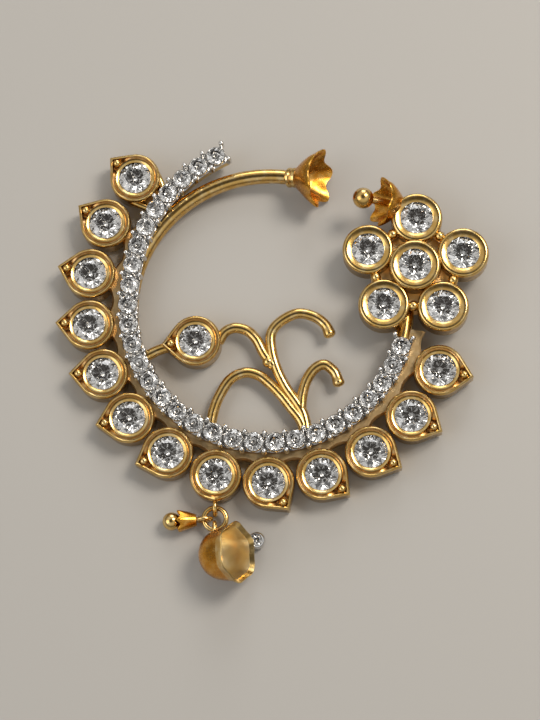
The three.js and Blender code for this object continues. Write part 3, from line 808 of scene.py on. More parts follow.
@dataclass
class PearBezel:
    """Pear-shaped bezel: round where the stone sits, drawn out to a point with a bead in its recess."""

    bezel: Bezel
    tip: float = 2.75
    rim: float = 0.26
    collar: float = 0.34
    rim_roll: float = 0.03
    rim_drop: float = 0.06
    recess: float = 0.5
    recess_drop: float = 0.08
    recess_start: float = 0.1
    recess_slope: float = 0.28
    bead: float = 0.34
    bead_inset: float = 0.78
    bead_sink: float = 0.22
    samples: int = 72

    def outline(self, radius: float, reach: float) -> list[Vector]:
        """Corners of the pear's outline, counter-clockwise from its point.

        Args:
            radius: Radius of the round part.
            reach: Distance of the point from the round part's centre.

        Returns:
            The corners, at height zero.
        """
        opening = math.degrees(math.acos(min(0.98, radius / reach)))
        flank = self.samples // 6
        arc_count = self.samples - 2 * flank
        point = EAST * reach
        upper = [point.lerp(polar(radius, opening), step / flank) for step in range(flank)]
        arc = [polar(radius, opening + (360 - 2 * opening) * step / arc_count) for step in range(arc_count)]
        lower = [polar(radius, -opening).lerp(point, step / flank) for step in range(flank)]
        return upper + arc + lower

    def build(self, maker: MeshMaker, place: Vector, turn: float, tip: float | None = None) -> None:
        """Adds the bezel.

        Args:
            maker: Mesh that gets it.
            place: Centre of the round part's back.
            turn: Way that the point faces, in degrees.
            tip: Reach of the point, where it isn't the usual one; such a pear has no bead.
        """
        r, h = self.bezel.outer, self.bezel.height
        base = self.outline(r, tip or self.tip)
        collar = self.bezel.mouth + self.collar
        placing = Matrix.Translation(place) @ Matrix.Rotation(math.radians(turn), 4, "Z")

        def dip(corner: Vector) -> float:
            """How deep the recess is at a corner, from how far the outline stands off the collar."""
            gap = corner.length * (r - self.rim) / r - collar
            return self.recess * max(0.0, min(1.0, (gap - self.recess_start) / self.recess_slope))

        def ring(inset: float, height: float, dipped: float = 0.0) -> list[Vector]:
            """Ring of the outline moved inward, at a height, let down into the recess by a share.

            Args:
                inset: Inset from the bezel's outline, in millimetres.
                height: Height of the ring.
                dipped: Share of the recess's depth that it is let down by.

            Returns:
                Its corners.
            """
            share = (r - inset) / r
            return [placing @ Vector((corner.x * share, corner.y * share, height - dipped * dip(corner)))
                    for corner in base]

        def round_ring(radius: float, height: float, dipped: float) -> list[Vector]:
            """Circle under the outline's own corners, let down into the recess by a share."""
            return [placing @ (corner.normalized() * radius + UP * (height - dipped * dip(corner)))
                    for corner in base]

        wall = [ring(inset, rise + share * h) for inset, rise, share in PEAR_WALL]
        inner = ring(self.rim - self.rim_roll, h - self.rim_drop)
        collar_rings = [round_ring(collar - inset, h + rise, dipped) for inset, rise, dipped in PEAR_COLLAR]
        maker.loft([[placing @ Vector()], *wall, inner])
        edge = ring(self.rim, h - self.recess_drop, 1.0)
        # The recess round the collar takes the darker recess gold: painted shade.
        maker.loft([inner, edge, *collar_rings[:2]], FrameSlot.RECESS)
        maker.loft(collar_rings[1:])
        maker.turned(self.bezel.seat(), self.samples, placing, FrameSlot.FOIL)
        if tip is None:
            maker.ball(placing @ Vector((self.tip - self.bead_inset, 0.0, h - self.bead_sink)), self.bead)


class PearRow(NamedTuple):
    """One pear: its distance as a share of the usual, and the swing of its point, in degrees."""

    reach: float
    swing: float


# Reach and swing of each pear, from the top left round to the right.
PEAR_TABLE = tuple(PearRow(*row) for row in (
    (1.31, 5.0), (1.19, -6.0), (1.09, -2.0), (1.03, -10.0), (0.98, -24.0),
    (0.98, -28.0), (0.99, -37.0), (1.0, 15.6), (1.01, 36.0), (1.02, 36.0),
    (1.05, 28.0), (1.08, 11.0), (1.12, 10.0),
))


@dataclass
class Eye:
    """A small soldered eye of round wire."""

    hole: float = 0.43
    wire: float = 0.17

    @property
    def reach(self) -> float:
        """Distance from the eye's centre to the middle of its wire."""
        return self.hole + self.wire

    def build(self, maker: MeshMaker, placing: Matrix) -> None:
        """Adds the eye, its axis along the matrix's +Z."""
        maker.torus(self.reach, self.wire, placing)


@dataclass
class PearWreath:
    """The thirteen pears round the outside, their web and the eye that the drop hangs from."""

    hoop: Hoop
    pear: PearBezel
    eye: Eye
    first: float = 135.9
    step: float = 16.93
    reach: float = 3.2
    hooked: int = 7
    hooked_tip: float = 2.12
    web_first: float = 147.0
    web_last: float = 351.0
    web_width: float = 1.7
    web_thickness: float = 0.8
    web_scallop: float = 0.16
    web_lower_bevel: float = 0.1
    web_upper_bevel: float = 0.15
    web_steps: int = 180
    bite: float = 0.07
    stem: float = 3.7
    stem_strand: float = 0.3
    stem_sides: int = 12
    stem_steps: int = 14
    # How far off the bezel, how many degrees to the side, and how high a strand starts and bends.
    stem_root: tuple[float, float, float] = (-0.3, 62.0, 1.1)
    stem_waist: tuple[float, float, float] = (0.62, 24.0, 1.05)
    plate_root: tuple[float, float] = (-0.25, 50.0)
    plate_heights: tuple[float, float] = (0.5, 0.8)

    def place(self, index: int) -> Vector:
        """Centre of a pear's back."""
        radius = self.hoop.radius + self.reach * PEAR_TABLE[index].reach
        return polar(radius, self.first + self.step * index)

    def turn(self, index: int) -> float:
        """Way that a pear's point faces, in degrees."""
        return self.first + self.step * index + PEAR_TABLE[index].swing

    def hook(self) -> Vector:
        """Finds the eye under the hooked pear.

        Returns:
            Its centre.
        """
        reach = self.hooked_tip + self.eye.hole - self.bite
        at = self.place(self.hooked) + polar(reach, self.turn(self.hooked))
        at.z = self.hoop.height + self.eye.wire
        return at

    def web(self, maker: MeshMaker) -> None:
        """Adds the web between the row and the pears, scalloped between one pear and the next.

        Args:
            maker: Mesh that gets the web.
        """
        inner = self.hoop.radius + 0.5 * self.hoop.wire
        bottom = self.hoop.height - self.web_thickness / 2
        top = bottom + self.web_thickness
        low, high = self.web_lower_bevel, self.web_upper_bevel
        sections: list[list[Vector]] = []
        for count in range(self.web_steps + 1):
            angle = self.web_first + (self.web_last - self.web_first) * count / self.web_steps
            phase = (angle - self.first) / self.step * math.tau
            out = inner + self.web_width * (1 - self.web_scallop * (1 - math.cos(phase)))
            corners = ((inner, bottom), (out - low, bottom), (out, bottom + low), (out, top - high),
                       (out - high, top), (inner, top))
            sections.append([polar(radius, angle, height) for radius, height in corners])
        # The web takes the darker recess gold: painted shade between the pears.
        maker.run(sections, FrameSlot.RECESS)

    def first_stem(self, maker: MeshMaker) -> None:
        """Adds the two strands that run from the first pear in a V to the web, and the plate between them.

        Args:
            maker: Mesh that gets the stem.
        """
        place = self.place(0)
        inward = self.first + 180
        point = place + polar(self.stem, inward, self.hoop.height)
        radius = self.pear.bezel.outer
        for side in (-1, 1):
            start, middle = (place + polar(radius + out, inward + side * spread, height)
                             for out, spread, height in (self.stem_root, self.stem_waist))
            points = [start.lerp(middle, share).lerp(middle.lerp(point, share), share)
                      for share in (step / self.stem_steps for step in range(self.stem_steps + 1))]
            maker.tube(points, lambda share: self.stem_strand, self.stem_sides)
        out, spread = self.plate_root
        corners = [place + polar(radius + out, inward + side * spread) for side in (-1, 1)] + [point]
        plate = [Vector((corner.x, corner.y, height)) for height in self.plate_heights for corner in corners]
        sheet = [[0, 2, 1], [3, 4, 5], [0, 1, 4, 3], [1, 2, 5, 4], [2, 0, 3, 5]]
        # The plate takes the darker recess gold: painted shade.
        maker.add(plate, sheet, FrameSlot.RECESS)

    def build(self, maker: MeshMaker) -> None:
        """Adds the pears, the web, the first pear's stem and the eye.

        Args:
            maker: Mesh that gets them.
        """
        for index in range(len(PEAR_TABLE)):
            tip = self.hooked_tip if index == self.hooked else None
            self.pear.build(maker, self.place(index), self.turn(index), tip)
        self.web(maker)
        self.first_stem(maker)
        self.eye.build(maker, aimed(self.hook(), EAST, NORTH))


@dataclass
class Flower:
    """Five round bezels about a raised sixth, with beads between them and a plate under them."""

    bezel: Bezel
    x: float = 11.75
    y: float = 3.05
    lift: float = 0.8
    centre_lift: float = 0.35
    petals: int = 5
    first: float = 88.0
    overlap: float = 0.12
    bead: float = 0.42
    bead_drop: float = 1.2
    plate_thickness: float = 0.7
    plate_inset: float = 0.4
    plate_bevel: float = 0.6
    plate_sides: int = 40

    @property
    def ring(self) -> float:
        """Distance of the petals from the middle."""
        return 2 * self.bezel.outer - self.overlap

    @property
    def back(self) -> Vector:
        """Middle of the flower, at the height of the petals' backs."""
        return Vector((self.x, self.y, self.lift))

    def centre(self) -> Vector:
        """Centre of the middle bezel's back."""
        return self.back + UP * self.centre_lift

    def petal(self, index: int) -> Vector:
        """Centre of a petal's back."""
        return self.back + polar(self.ring, self.first + 360 * index / self.petals)

    def build(self, maker: MeshMaker) -> None:
        """Adds the bezels, the beads and the plate.

        Args:
            maker: Mesh that gets them.
        """
        for index in range(self.petals):
            self.bezel.round_cup(maker, self.petal(index))
            angle = self.first + 360 * (index + 0.5) / self.petals
            between = polar(self.ring * math.cos(math.pi / self.petals), angle,
                            self.bezel.height - self.bead_drop * self.bead)
            maker.ball(self.back + between, self.bead)
        self.bezel.round_cup(maker, self.centre())
        edge, top = self.ring - self.plate_inset, self.plate_thickness
        plate = [(0.0, 0.0), (edge, 0.0), (edge - self.plate_bevel, top), (0.0, top)]
        # The plate under the bezels takes the darker recess gold: painted shade.
        maker.turned(plate, self.plate_sides, Matrix.Translation(self.back), FrameSlot.RECESS)


def smooth_path(points: Sequence[Vector], steps: int) -> list[Vector]:
    """Points along a Catmull-Rom curve through places.

    Args:
        points: Places that the curve passes through.
        steps: New points in each stretch.

    Returns:
        The points.
    """
    path: list[Vector] = []
    last = len(points) - 1
    for place in range(last):
        before = points[place - 1] if place else points[0] * 2 - points[1]
        after = points[place + 2] if place + 2 <= last else points[last] * 2 - points[last - 1]
        a, b = points[place], points[place + 1]
        for step in range(steps):
            t = step / steps
            path.append(0.5 * (2 * a + (b - before) * t + (2 * before - 5 * a + 4 * b - after) * t * t
                               + (3 * a - before - 3 * b + after) * t ** 3))
    path.append(points[last].copy())
    return path


# Places that each strand passes through, right and up from the hoop's centre, as shares of the hoop's radius.
STRANDS: dict[str, tuple[tuple[float, float], ...]] = {
    "pear_arm": ((-0.66, -0.28), (-0.79, -0.32), (-0.94, -0.4)),
    "left_curl": ((-0.35, -0.25), (-0.31, -0.182), (-0.239, -0.15), (-0.15, -0.17), (-0.08, -0.235),
                  (-0.024, -0.338), (0.045, -0.43)),
    "upper_hook": ((0.45, -0.194), (0.414, -0.122), (0.333, -0.063), (0.212, -0.041), (0.09, -0.104),
                   (0.027, -0.19), (0.03, -0.31), (0.07, -0.45), (0.14, -0.59), (0.212, -0.69), (0.27, -0.79),
                   (0.3, -0.94)),
    "arch": ((-0.4, -0.9), (-0.375, -0.757), (-0.333, -0.643), (-0.261, -0.53), (-0.158, -0.48),
             (-0.06, -0.5), (0.02, -0.56), (0.1, -0.64), (0.18, -0.74), (0.25, -0.83), (0.29, -0.94)),
    "lower_hook": ((0.518, -0.554), (0.486, -0.473), (0.414, -0.419), (0.342, -0.45), (0.288, -0.532),
                   (0.258, -0.64), (0.25, -0.75)),
}


@dataclass
class ScrollWork:
    """Curled strands inside the hoop, their bead and the pear that closes them at the left."""

    hoop: Hoop
    pear: PearBezel
    strand: float = 0.43
    end_swell: float = 0.16
    end_stretch: float = 0.05
    steps: int = 8
    sides: int = 18
    bead: float = 0.5
    turn: float = 187.0
    pear_place: tuple[float, float] = (-0.514, -0.266)
    bead_place: tuple[float, float] = (0.01, -0.4)
    open_ends: tuple[str, ...] = ("upper_hook", "lower_hook")

    def place(self) -> Vector:
        """Centre of the pear's back."""
        return self.hoop.at(*self.pear_place, 0.0)

    def thickness(self, share: float, swell: float) -> float:
        """Radius of a strand at a share of its length, where its end swells by a share."""
        return self.strand * (1 + swell * math.exp(-(share / self.end_stretch) ** 2))

    def build(self, maker: MeshMaker) -> None:
        """Adds the strands, the open ones with a swollen end, the bead and the pear.

        Args:
            maker: Mesh that gets them.
        """
        for name, shares in STRANDS.items():
            swell = self.end_swell if name in self.open_ends else 0.0
            path = smooth_path([self.hoop.at(*share) for share in shares], self.steps)
            maker.tube(path, lambda share: self.thickness(share, swell), self.sides)
        maker.ball(self.hoop.at(*self.bead_place), self.bead)
        self.pear.build(maker, self.place(), self.turn)


# Rows of a petal cup from the base up: share of its flare and share of its depth.
CUP_FLARE: Profile = ((0.12, 0.1), (0.34, 0.28), (0.55, 0.46), (0.75, 0.65), (0.91, 0.84))
# Rows of its rim: inset from the radius, and rise as a share of the wall.
CUP_RIM: Profile = ((0.02, 0.3), (0.12, 0.4))
# Rows of its floor: share of the radius inside at the foot, and share of the depth.
CUP_FLOOR: Profile = ((0.6, 0.3), (0.0, 0.27))


@dataclass
class PetalCup:
    """A cup like a flower whose rim is drawn out into low pointed petals with a crease down each."""

    radius: float
    depth: float
    base: float
    wall: float = 0.24
    petals: int = 6
    point: float = 0.1
    sharpness: float = 1.15
    curl: float = 0.08
    opening: float = 0.4
    inset: float = 0.9
    thickness: float = 0.35

    def shape(self, corner: Vector) -> Vector:
        """Draws a corner out or in with its angle, more the nearer it is to the rim.

        Args:
            corner: Corner of the round cup.

        Returns:
            The corner of the petalled one.
        """
        share = max(0.0, corner.z / self.depth - self.opening) / (1 - self.opening)
        wave = math.cos(self.petals * math.atan2(corner.y, corner.x))
        pointed = 2.0 * (0.5 + 0.5 * wave) ** self.sharpness - 1.0
        swell = 1.0 + self.point * share * pointed
        rise = self.curl * self.depth * share ** 2 * pointed
        return Vector((corner.x * swell, corner.y * swell, corner.z + rise))

    def build(self, maker: MeshMaker, placing: Matrix, slot: int) -> None:
        """Adds the cup, mouth towards the matrix's +Z.

        Args:
            maker: Mesh that gets it.
            placing: Matrix that carries it to its place.
            slot: Material slot of the cup.
        """
        flare = self.radius - self.base
        flank = [(self.base + across * flare, along * self.depth) for across, along in CUP_FLARE]
        outside = [(0.0, 0.0), (self.base, 0.0), *flank, (self.radius, self.depth)]
        inside = [(max(0.0, across - self.inset * self.wall), along + self.thickness * self.wall)
                  for across, along in outside[3:-1]]
        rim = [(self.radius - inset, self.depth + share * self.wall) for inset, share in CUP_RIM]
        floor = [(across * inside[0][0], along * self.depth) for across, along in CUP_FLOOR]
        maker.turned(outside + rim + inside[::-1] + floor, 12 * self.petals, placing, slot, self.shape)


# Rows of the collar on the free end, from the hoop up: share of its radius, and height in millimetres.
COLLAR_SECTION: Profile = (
    (0.0, -0.3), (0.6, -0.28), (0.86, -0.14), (1.0, 0.0), (1.0, 0.16), (0.88, 0.26), (0.88, 0.36),
    (1.0, 0.46),
)


@dataclass
class Clasp:
    """The press clasp: a cup on the hoop's free end, and a cup with a ball on the flower's side."""

    hoop: Hoop
    free: PetalCup = field(default_factory=lambda: PetalCup(2.22, 1.9, 0.84))
    fixed: PetalCup = field(default_factory=lambda: PetalCup(1.89, 1.7, 0.66))
    free_lift: float = 20.0
    fixed_lift: float = 24.0
    collar: float = 0.82
    collar_length: float = 1.0
    cup_lap: float = 0.3
    foot: float = 0.62
    foot_length: float = 0.8
    foot_top: float = 0.1
    ball: float = 0.85
    post: float = 0.3
    x: float = 10.7
    y: float = 8.35
    turn: float = 176.0
    height: float = 1.5
    ball_reach: float = 3.4
    sides: int = 32

    def build(self, maker: MeshMaker) -> None:
        """Adds both cups, the collar, the post and the ball.

        Args:
            maker: Mesh that gets them.
        """
        end = polar(self.hoop.radius, self.hoop.free_end, self.hoop.height)
        facing = heading(self.hoop.free_end - 90, self.free_lift)
        length = self.collar_length
        collar = [(share * self.collar, along) for share, along in COLLAR_SECTION]
        maker.turned([*collar, (self.collar, length), (0.0, length)], self.sides, aimed(end, facing, NORTH))
        # The cup takes the darker, redder cup gold: painted shade.
        self.free.build(maker, aimed(end + facing * (length - self.cup_lap), facing, NORTH), FrameSlot.CUP)
        base = Vector((self.x, self.y, self.height))
        way = heading(self.turn, self.fixed_lift)
        placing = aimed(base, way, NORTH)
        # This cup too takes the darker, redder cup gold: painted shade.
        self.fixed.build(maker, placing, FrameSlot.CUP)
        for radius, low, high, sides in ((self.foot, -self.foot_length, self.foot_top, self.sides),
                                         (self.post, self.foot_top, self.ball_reach, maker.ball_sides)):
            maker.turned([(0.0, low), (radius, low), (radius, high), (0.0, high)], sides, placing)
        maker.ball(base + way * self.ball_reach, self.ball)


# Rows of a small stone's cup and of the foil in it: share of the stone's radius, height, and whether that
# is counted from the rail's bottom (0) or from the girdle (1).
SMALL_CUP: Section = (
    (0.0, 0.05, 0), (0.98, 0.05, 0), (1.08, -0.28, 1), (1.08, -0.1, 1), (1.02, -0.04, 1), (0.97, -0.06, 1),
)
SMALL_FOIL: Section = ((0.97, -0.06, 1), (0.3, 0.16, 0), (0.0, 0.12, 0))
# Rows of a prong, with shares of its own radius.
PRONG: Section = (
    (0.0, 0.02, 0), (1.1, 0.02, 0), (1.0, -0.2, 1), (0.9, 0.06, 1), (0.95, 0.16, 1), (0.7, 0.25, 1),
    (0.35, 0.29, 1), (0.0, 0.3, 1),
)


@dataclass
class StoneRow:
    """Small stones in a white-metal channel, held by prongs that neighbours share."""

    hoop: Hoop
    offset: float = 0.1
    last: float = 346.5
    leaves: float = 172.0
    tip: float = 106.0
    drift: float = 2.1
    power: float = 1.2
    pitch: float = 1.69
    stone: float = 0.74
    gap: float = 0.1
    rail_width: float = 1.5
    rail_thickness: float = 0.45
    sole: float = 0.08
    girdle_rise: float = 0.2
    pavilion_rise: float = 0.2
    seat_width: float = 1.2
    seat_bottom: float = 0.35
    prong: float = 0.21
    prong_offset: float = 0.98
    lean: float = 5.0
    samples: int = 600
    strip_steps: int = 160
    ahead: float = 0.002
    cup_sides: int = 24
    prong_sides: int = 12
    seed: int = 11

    @property
    def bottom(self) -> float:
        """Height of the rail's underside."""
        return self.hoop.top + self.gap

    @property
    def girdle(self) -> float:
        """Height of the small stones' girdles."""
        return self.bottom + self.rail_thickness + self.girdle_rise

    def point(self, share: float) -> Vector:
        """Place on the row's centre line.

        Args:
            share: Share of its sweep, from the tip.

        Returns:
            The place.
        """
        angle = self.tip + share * (self.last - self.tip)
        past = max(0.0, (self.leaves - angle) / (self.leaves - self.tip))
        return polar(self.hoop.radius + self.offset + self.drift * past ** self.power, angle)

    def lengths(self) -> np.ndarray:
        """Length of the row's centre line up to each of its samples."""
        fine = [self.point(step / self.samples) for step in range(self.samples + 1)]
        return np.cumsum([0.0] + [(b - a).length for a, b in zip(fine, fine[1:])])

    def even(self, count: int) -> list[tuple[Vector, Vector]]:
        """Places at even distances along the row, each with the way across the row there.

        Args:
            count: How many places, ends included.

        Returns:
            Pairs of place and unit vector across.
        """
        lengths = self.lengths()
        found = []
        for step in range(count):
            wanted = lengths[-1] * step / (count - 1)
            share = float(np.interp(wanted, lengths, np.linspace(0, 1, self.samples + 1)))
            before, after = max(0.0, share - self.ahead), min(1.0, share + self.ahead)
            along = (self.point(after) - self.point(before)).normalized()
            found.append((self.point(share), Vector((-along.y, along.x, 0.0))))
        return found

    def strip(self, maker: MeshMaker, width: float, bottom: float, top: float) -> None:
        """Adds a plain strip along the row.

        Args:
            maker: Mesh that gets it.
            width: Its width.
            bottom: Height of its underside.
            top: Height of its top.
        """
        corners = ((-1, bottom), (-1, top), (1, top), (1, bottom))
        maker.run([[place + out * (side * width / 2) + UP * height for side, height in corners]
                   for place, out in self.even(self.strip_steps)])

    def build_seat(self, maker: MeshMaker) -> None:
        """Adds the gold strip that carries the row."""
        self.strip(maker, self.seat_width, self.seat_bottom, self.hoop.top)

    def small(self, rows: Section, radius: float) -> list[tuple[float, float]]:
        """Profile of a small piece from its table and its radius."""
        return [(share * radius, rise + (self.girdle if top else self.bottom)) for share, rise, top in rows]

    def build(self, maker: MeshMaker) -> None:
        """Adds the rail, the stones' cups, the stones and the prongs.

        Args:
            maker: Mesh that gets them.
        """
        self.strip(maker, self.rail_width, self.bottom, self.bottom + self.sole)
        marks = self.even(2 * round(float(self.lengths()[-1]) / self.pitch) + 1)
        rng = random.Random(self.seed)
        lowest = self.bottom + self.pavilion_rise
        for place, _ in marks[1::2]:
            for rows, slot in ((SMALL_CUP, RowSlot.RHODIUM), (SMALL_FOIL, RowSlot.FOIL)):
                maker.turned(self.small(rows, self.stone), self.cup_sides, Matrix.Translation(place), slot)
            tilt_x, tilt_y = (Matrix.Rotation(math.radians(rng.uniform(-self.lean, self.lean)), 4, axis)
                              for axis in "XY")
            at = Matrix.Translation(place + UP * self.girdle) @ tilt_x @ tilt_y
            points = StoneCut().points(self.stone, at, rng.uniform(0, StoneCut.repeat))
            maker.hull(cut_off(points, lowest), RowSlot.STONE)
        for place, out in marks[0::2]:
            for side in (-1, 1):
                at = place + out * (side * self.stone * self.prong_offset)
                maker.turned(self.small(PRONG, self.prong), self.prong_sides, Matrix.Translation(at))


# Rows of the bell's wall from the foot to the rim: share of its radius and share of its depth.
BELL_SECTION: Profile = (
    (0.0, 0.0), (0.2, 0.004), (0.38, 0.03), (0.54, 0.09), (0.67, 0.18), (0.77, 0.29), (0.84, 0.42),
    (0.88, 0.56), (0.9, 0.7), (0.93, 0.83), (0.97, 0.93), (1.0, 1.0),
)
# Rows of its rim: how far out from its radius, and how far over its depth.
BELL_RIM: Profile = ((0.02, 0.05), (-0.08, 0.1))
# Bands of the bell's profile, by first and last row: its wall, rim, inside and floor.
# The wall and floor take the darker cup gold as painted shade; the inside takes the pale gold as painted
# light.
BELL_BANDS: tuple[tuple[int, int, BellSlot], ...] = (
    (0, 9, BellSlot.CUP), (9, 14, BellSlot.GOLD), (14, 20, BellSlot.SATIN), (20, 23, BellSlot.CUP),
)
# Rows of the cup of the drop's stone, from its foot up and in: inset from its outer radius, and height.
DROP_CUP: Profile = ((0.12, -0.8), (0.0, -0.66), (0.0, -0.12), (0.05, -0.02), (0.12, 0.02), (0.2, 0.0))
# Rows of the foil in it: share of the stone's radius, gap beside that, and height.
DROP_FOIL: Section = ((1.0, 0.02, -0.08), (0.3, 0.0, -0.42), (0.0, 0.0, -0.45))


@dataclass
class Drop:
    """The drop on its jump ring: link, bud with a ball, petalled bell and its small stone."""

    eye: Eye
    hook: Vector
    to_frame: Matrix
    finishes: Finishes
    link: float = 0.88
    link_wire: float = 0.2
    bell: float = 2.3
    bell_depth: float = 3.1
    bell_wall: float = 0.26
    bell_floor: float = 0.25
    bell_foot: float = 0.6
    bell_opening: float = 0.5
    bell_sides: int = 96
    bell_petals: int = 6
    bell_point: float = 0.045
    bell_turn: float = 4.0
    bell_lift: float = 33.0
    offset_x: float = 1.9
    offset_y: float = -2.85
    bud_cup: float = 0.84
    bud_point: float = 0.08
    bud_base: float = 0.45
    bud_depth: float = 1.3
    bud_wall: float = 0.14
    bud_post: float = 0.21
    bud_post_start: float = 0.1
    bud_post_sides: int = 16
    bud_ball: float = 0.72
    bud_reach: float = 2.55
    bud_turn: float = 184.0
    stone: float = 0.42
    stone_wall: float = 0.24
    stone_cut_off: float = 0.4
    stone_spin: float = 10.0
    stone_sides: int = 32

    def bell_profile(self) -> list[tuple[float, float]]:
        """Bell's profile, out from its foot to the rim and back down inside.

        Returns:
            Pairs of radius and height.
        """
        outside = [(across * self.bell, along * self.bell_depth) for across, along in BELL_SECTION]
        foot = self.bell_foot * self.bell_wall
        inside = [(max(0.0, across - self.bell_wall), along + foot * (1 - along / self.bell_depth))
                  for across, along in outside[2:-1]]
        rim = [(self.bell + out, self.bell_depth + over) for out, over in BELL_RIM]
        return outside + rim + inside[::-1] + [(0.0, self.bell_floor)]

    def bell_shape(self, corner: Vector) -> Vector:
        """Draws the bell's mouth into petals.

        Args:
            corner: Corner of the round bell.

        Returns:
            The corner of the petalled one.
        """
        share = max(0.0, corner.z / self.bell_depth - self.bell_opening) / (1 - self.bell_opening)
        swell = 1.0 + self.bell_point * share * math.cos(self.bell_petals * math.atan2(corner.y, corner.x))
        return Vector((corner.x * swell, corner.y * swell, corner.z))

    @property
    def centre(self) -> Vector:
        """Centre of the jump ring, which hangs in the hook."""
        return self.hook - NORTH * self.link

    def bell_placing(self) -> Matrix:
        """Lays the bell on the floor beside its jump ring.

        Returns:
            The placing matrix.
        """
        facing = heading(self.bell_turn, self.bell_lift)
        mouth = self.centre + Vector((self.offset_x, self.offset_y, 0.0))
        placing = aimed(mouth - facing * self.bell_depth, facing, NORTH)
        # Sixty looks round the bell, so that its lowest petal is found whatever its corners are.
        lowest = min((placing @ self.bell_shape(polar(across, 6 * step, along))).z
                     for across, along in self.bell_profile() for step in range(60))
        return Matrix.Translation((0.0, 0.0, -lowest)) @ placing

    def build(self) -> None:
        """Builds the link, the bud and the bell with its stone."""
        maker = MeshMaker()
        maker.torus(self.link, self.link_wire, Matrix.Translation(self.centre))
        maker.build("drop_link_fine", "drop_link", self.to_frame, [self.finishes.gold], Slot.GOLD)
        self.build_bud()
        self.build_bell()

    def build_bud(self) -> None:
        """Builds the bud: an eye, a little petal cup and the ball in its mouth."""
        maker = MeshMaker()
        way = heading(self.bud_turn, 0.0)
        at = self.centre + polar(self.link, self.bud_turn)
        self.eye.build(maker, aimed(at, UP.cross(way), way))
        placing = aimed(at + way * self.eye.reach, way, UP)
        cup = PetalCup(self.bud_cup, self.bud_depth, self.bud_base, self.bud_wall, point=self.bud_point)
        # The bud's cup takes the darker, redder cup gold: painted shade.
        cup.build(maker, placing, BudSlot.CUP)
        length = self.bud_reach - self.eye.reach
        start = self.bud_post_start
        post = [(0.0, start), (self.bud_post, start), (self.bud_post, length), (0.0, length)]
        maker.turned(post, self.bud_post_sides, placing)
        maker.ball(at + way * self.bud_reach, self.bud_ball)
        materials = [self.finishes.gold, self.finishes.cup_shade_gold]
        maker.build("drop_bud_fine", "drop_bud", self.to_frame, materials, Slot.GOLD)

    def build_bell(self) -> None:
        """Builds the bell with its eye, the small stone's cup and the stone."""
        shades = self.finishes
        maker = MeshMaker()
        placing = self.bell_placing()
        profile = self.bell_profile()
        for first, last, slot in BELL_BANDS:
            maker.turned(profile[first:last + 1], self.bell_sides, placing, slot, self.bell_shape)
        self.eye.build(maker, aimed(self.centre - NORTH * self.link, EAST, NORTH))
        low, high = (Vector(corner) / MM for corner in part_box("drop_stone"))
        r, girdle = self.stone, low.z + StoneCut().pavilion * self.stone
        cup_at = Matrix.Translation(((low.x + high.x) / 2, (low.y + high.y) / 2, girdle))
        cup = [(r + self.stone_wall - inset, height) for inset, height in DROP_CUP]
        foil = [(share * r + gap, height) for share, gap, height in DROP_FOIL]
        maker.turned([(0.0, DROP_CUP[0][1]), *cup, *foil], self.stone_sides, cup_at, BellSlot.RHODIUM)
        materials = [shades.gold, shades.rhodium, shades.satin_lit_gold, shades.cup_shade_gold]
        maker.build("drop_bell_fine", "drop_bell", self.to_frame, materials, Slot.GOLD)
        stone = MeshMaker()
        stone.hull(cut_off(StoneCut().points(r, cup_at, self.stone_spin), girdle - self.stone_cut_off))
        stone.build("drop_stone_cut", "drop_stone", self.to_frame, [shades.stone], Slot.CRYSTAL,
                    Shading.FACETED)


@dataclass(frozen=True)
class Lamp:
    """A soft square lamp that faces the ring, in metres, watts and sRGB hex."""

    name: str
    place: tuple[float, float, float]
    size: float
    watts: float
    tint: str = "FFFFFF"

    def build(self) -> None:
        """Adds the lamp."""
        data = bpy.data.lights.new(self.name, "AREA")
        data.size = self.size
        data.energy = self.watts
        data.color = srgb(self.tint)[:3]
        lamp = bpy.data.objects.new(self.name, data)
        lamp.location = self.place
        lamp.rotation_euler = (-Vector(self.place)).to_track_quat("-Z", "Y").to_euler()
        bpy.context.scene.collection.objects.link(lamp)


LAMPS = (
    Lamp("key", (0.22, 0.16, 0.36), 0.16, 1.5, "FFF6EA"),
    Lamp("fill", (-0.34, -0.1, 0.3), 0.3, 0.5),
    Lamp("rim", (0.02, 0.42, 0.2), 0.22, 0.6),
)
# Shades of the surroundings from straight below (0) to straight above (1): bright walls and a dark patch
# overhead, so that metal and facets have both to mirror.
SURROUNDINGS = ((0.0, "85817C"), (0.3, "9A9691"), (0.55, "F4F2EE"), (0.86, "FFFFFF"), (0.95, "4E4B48"))


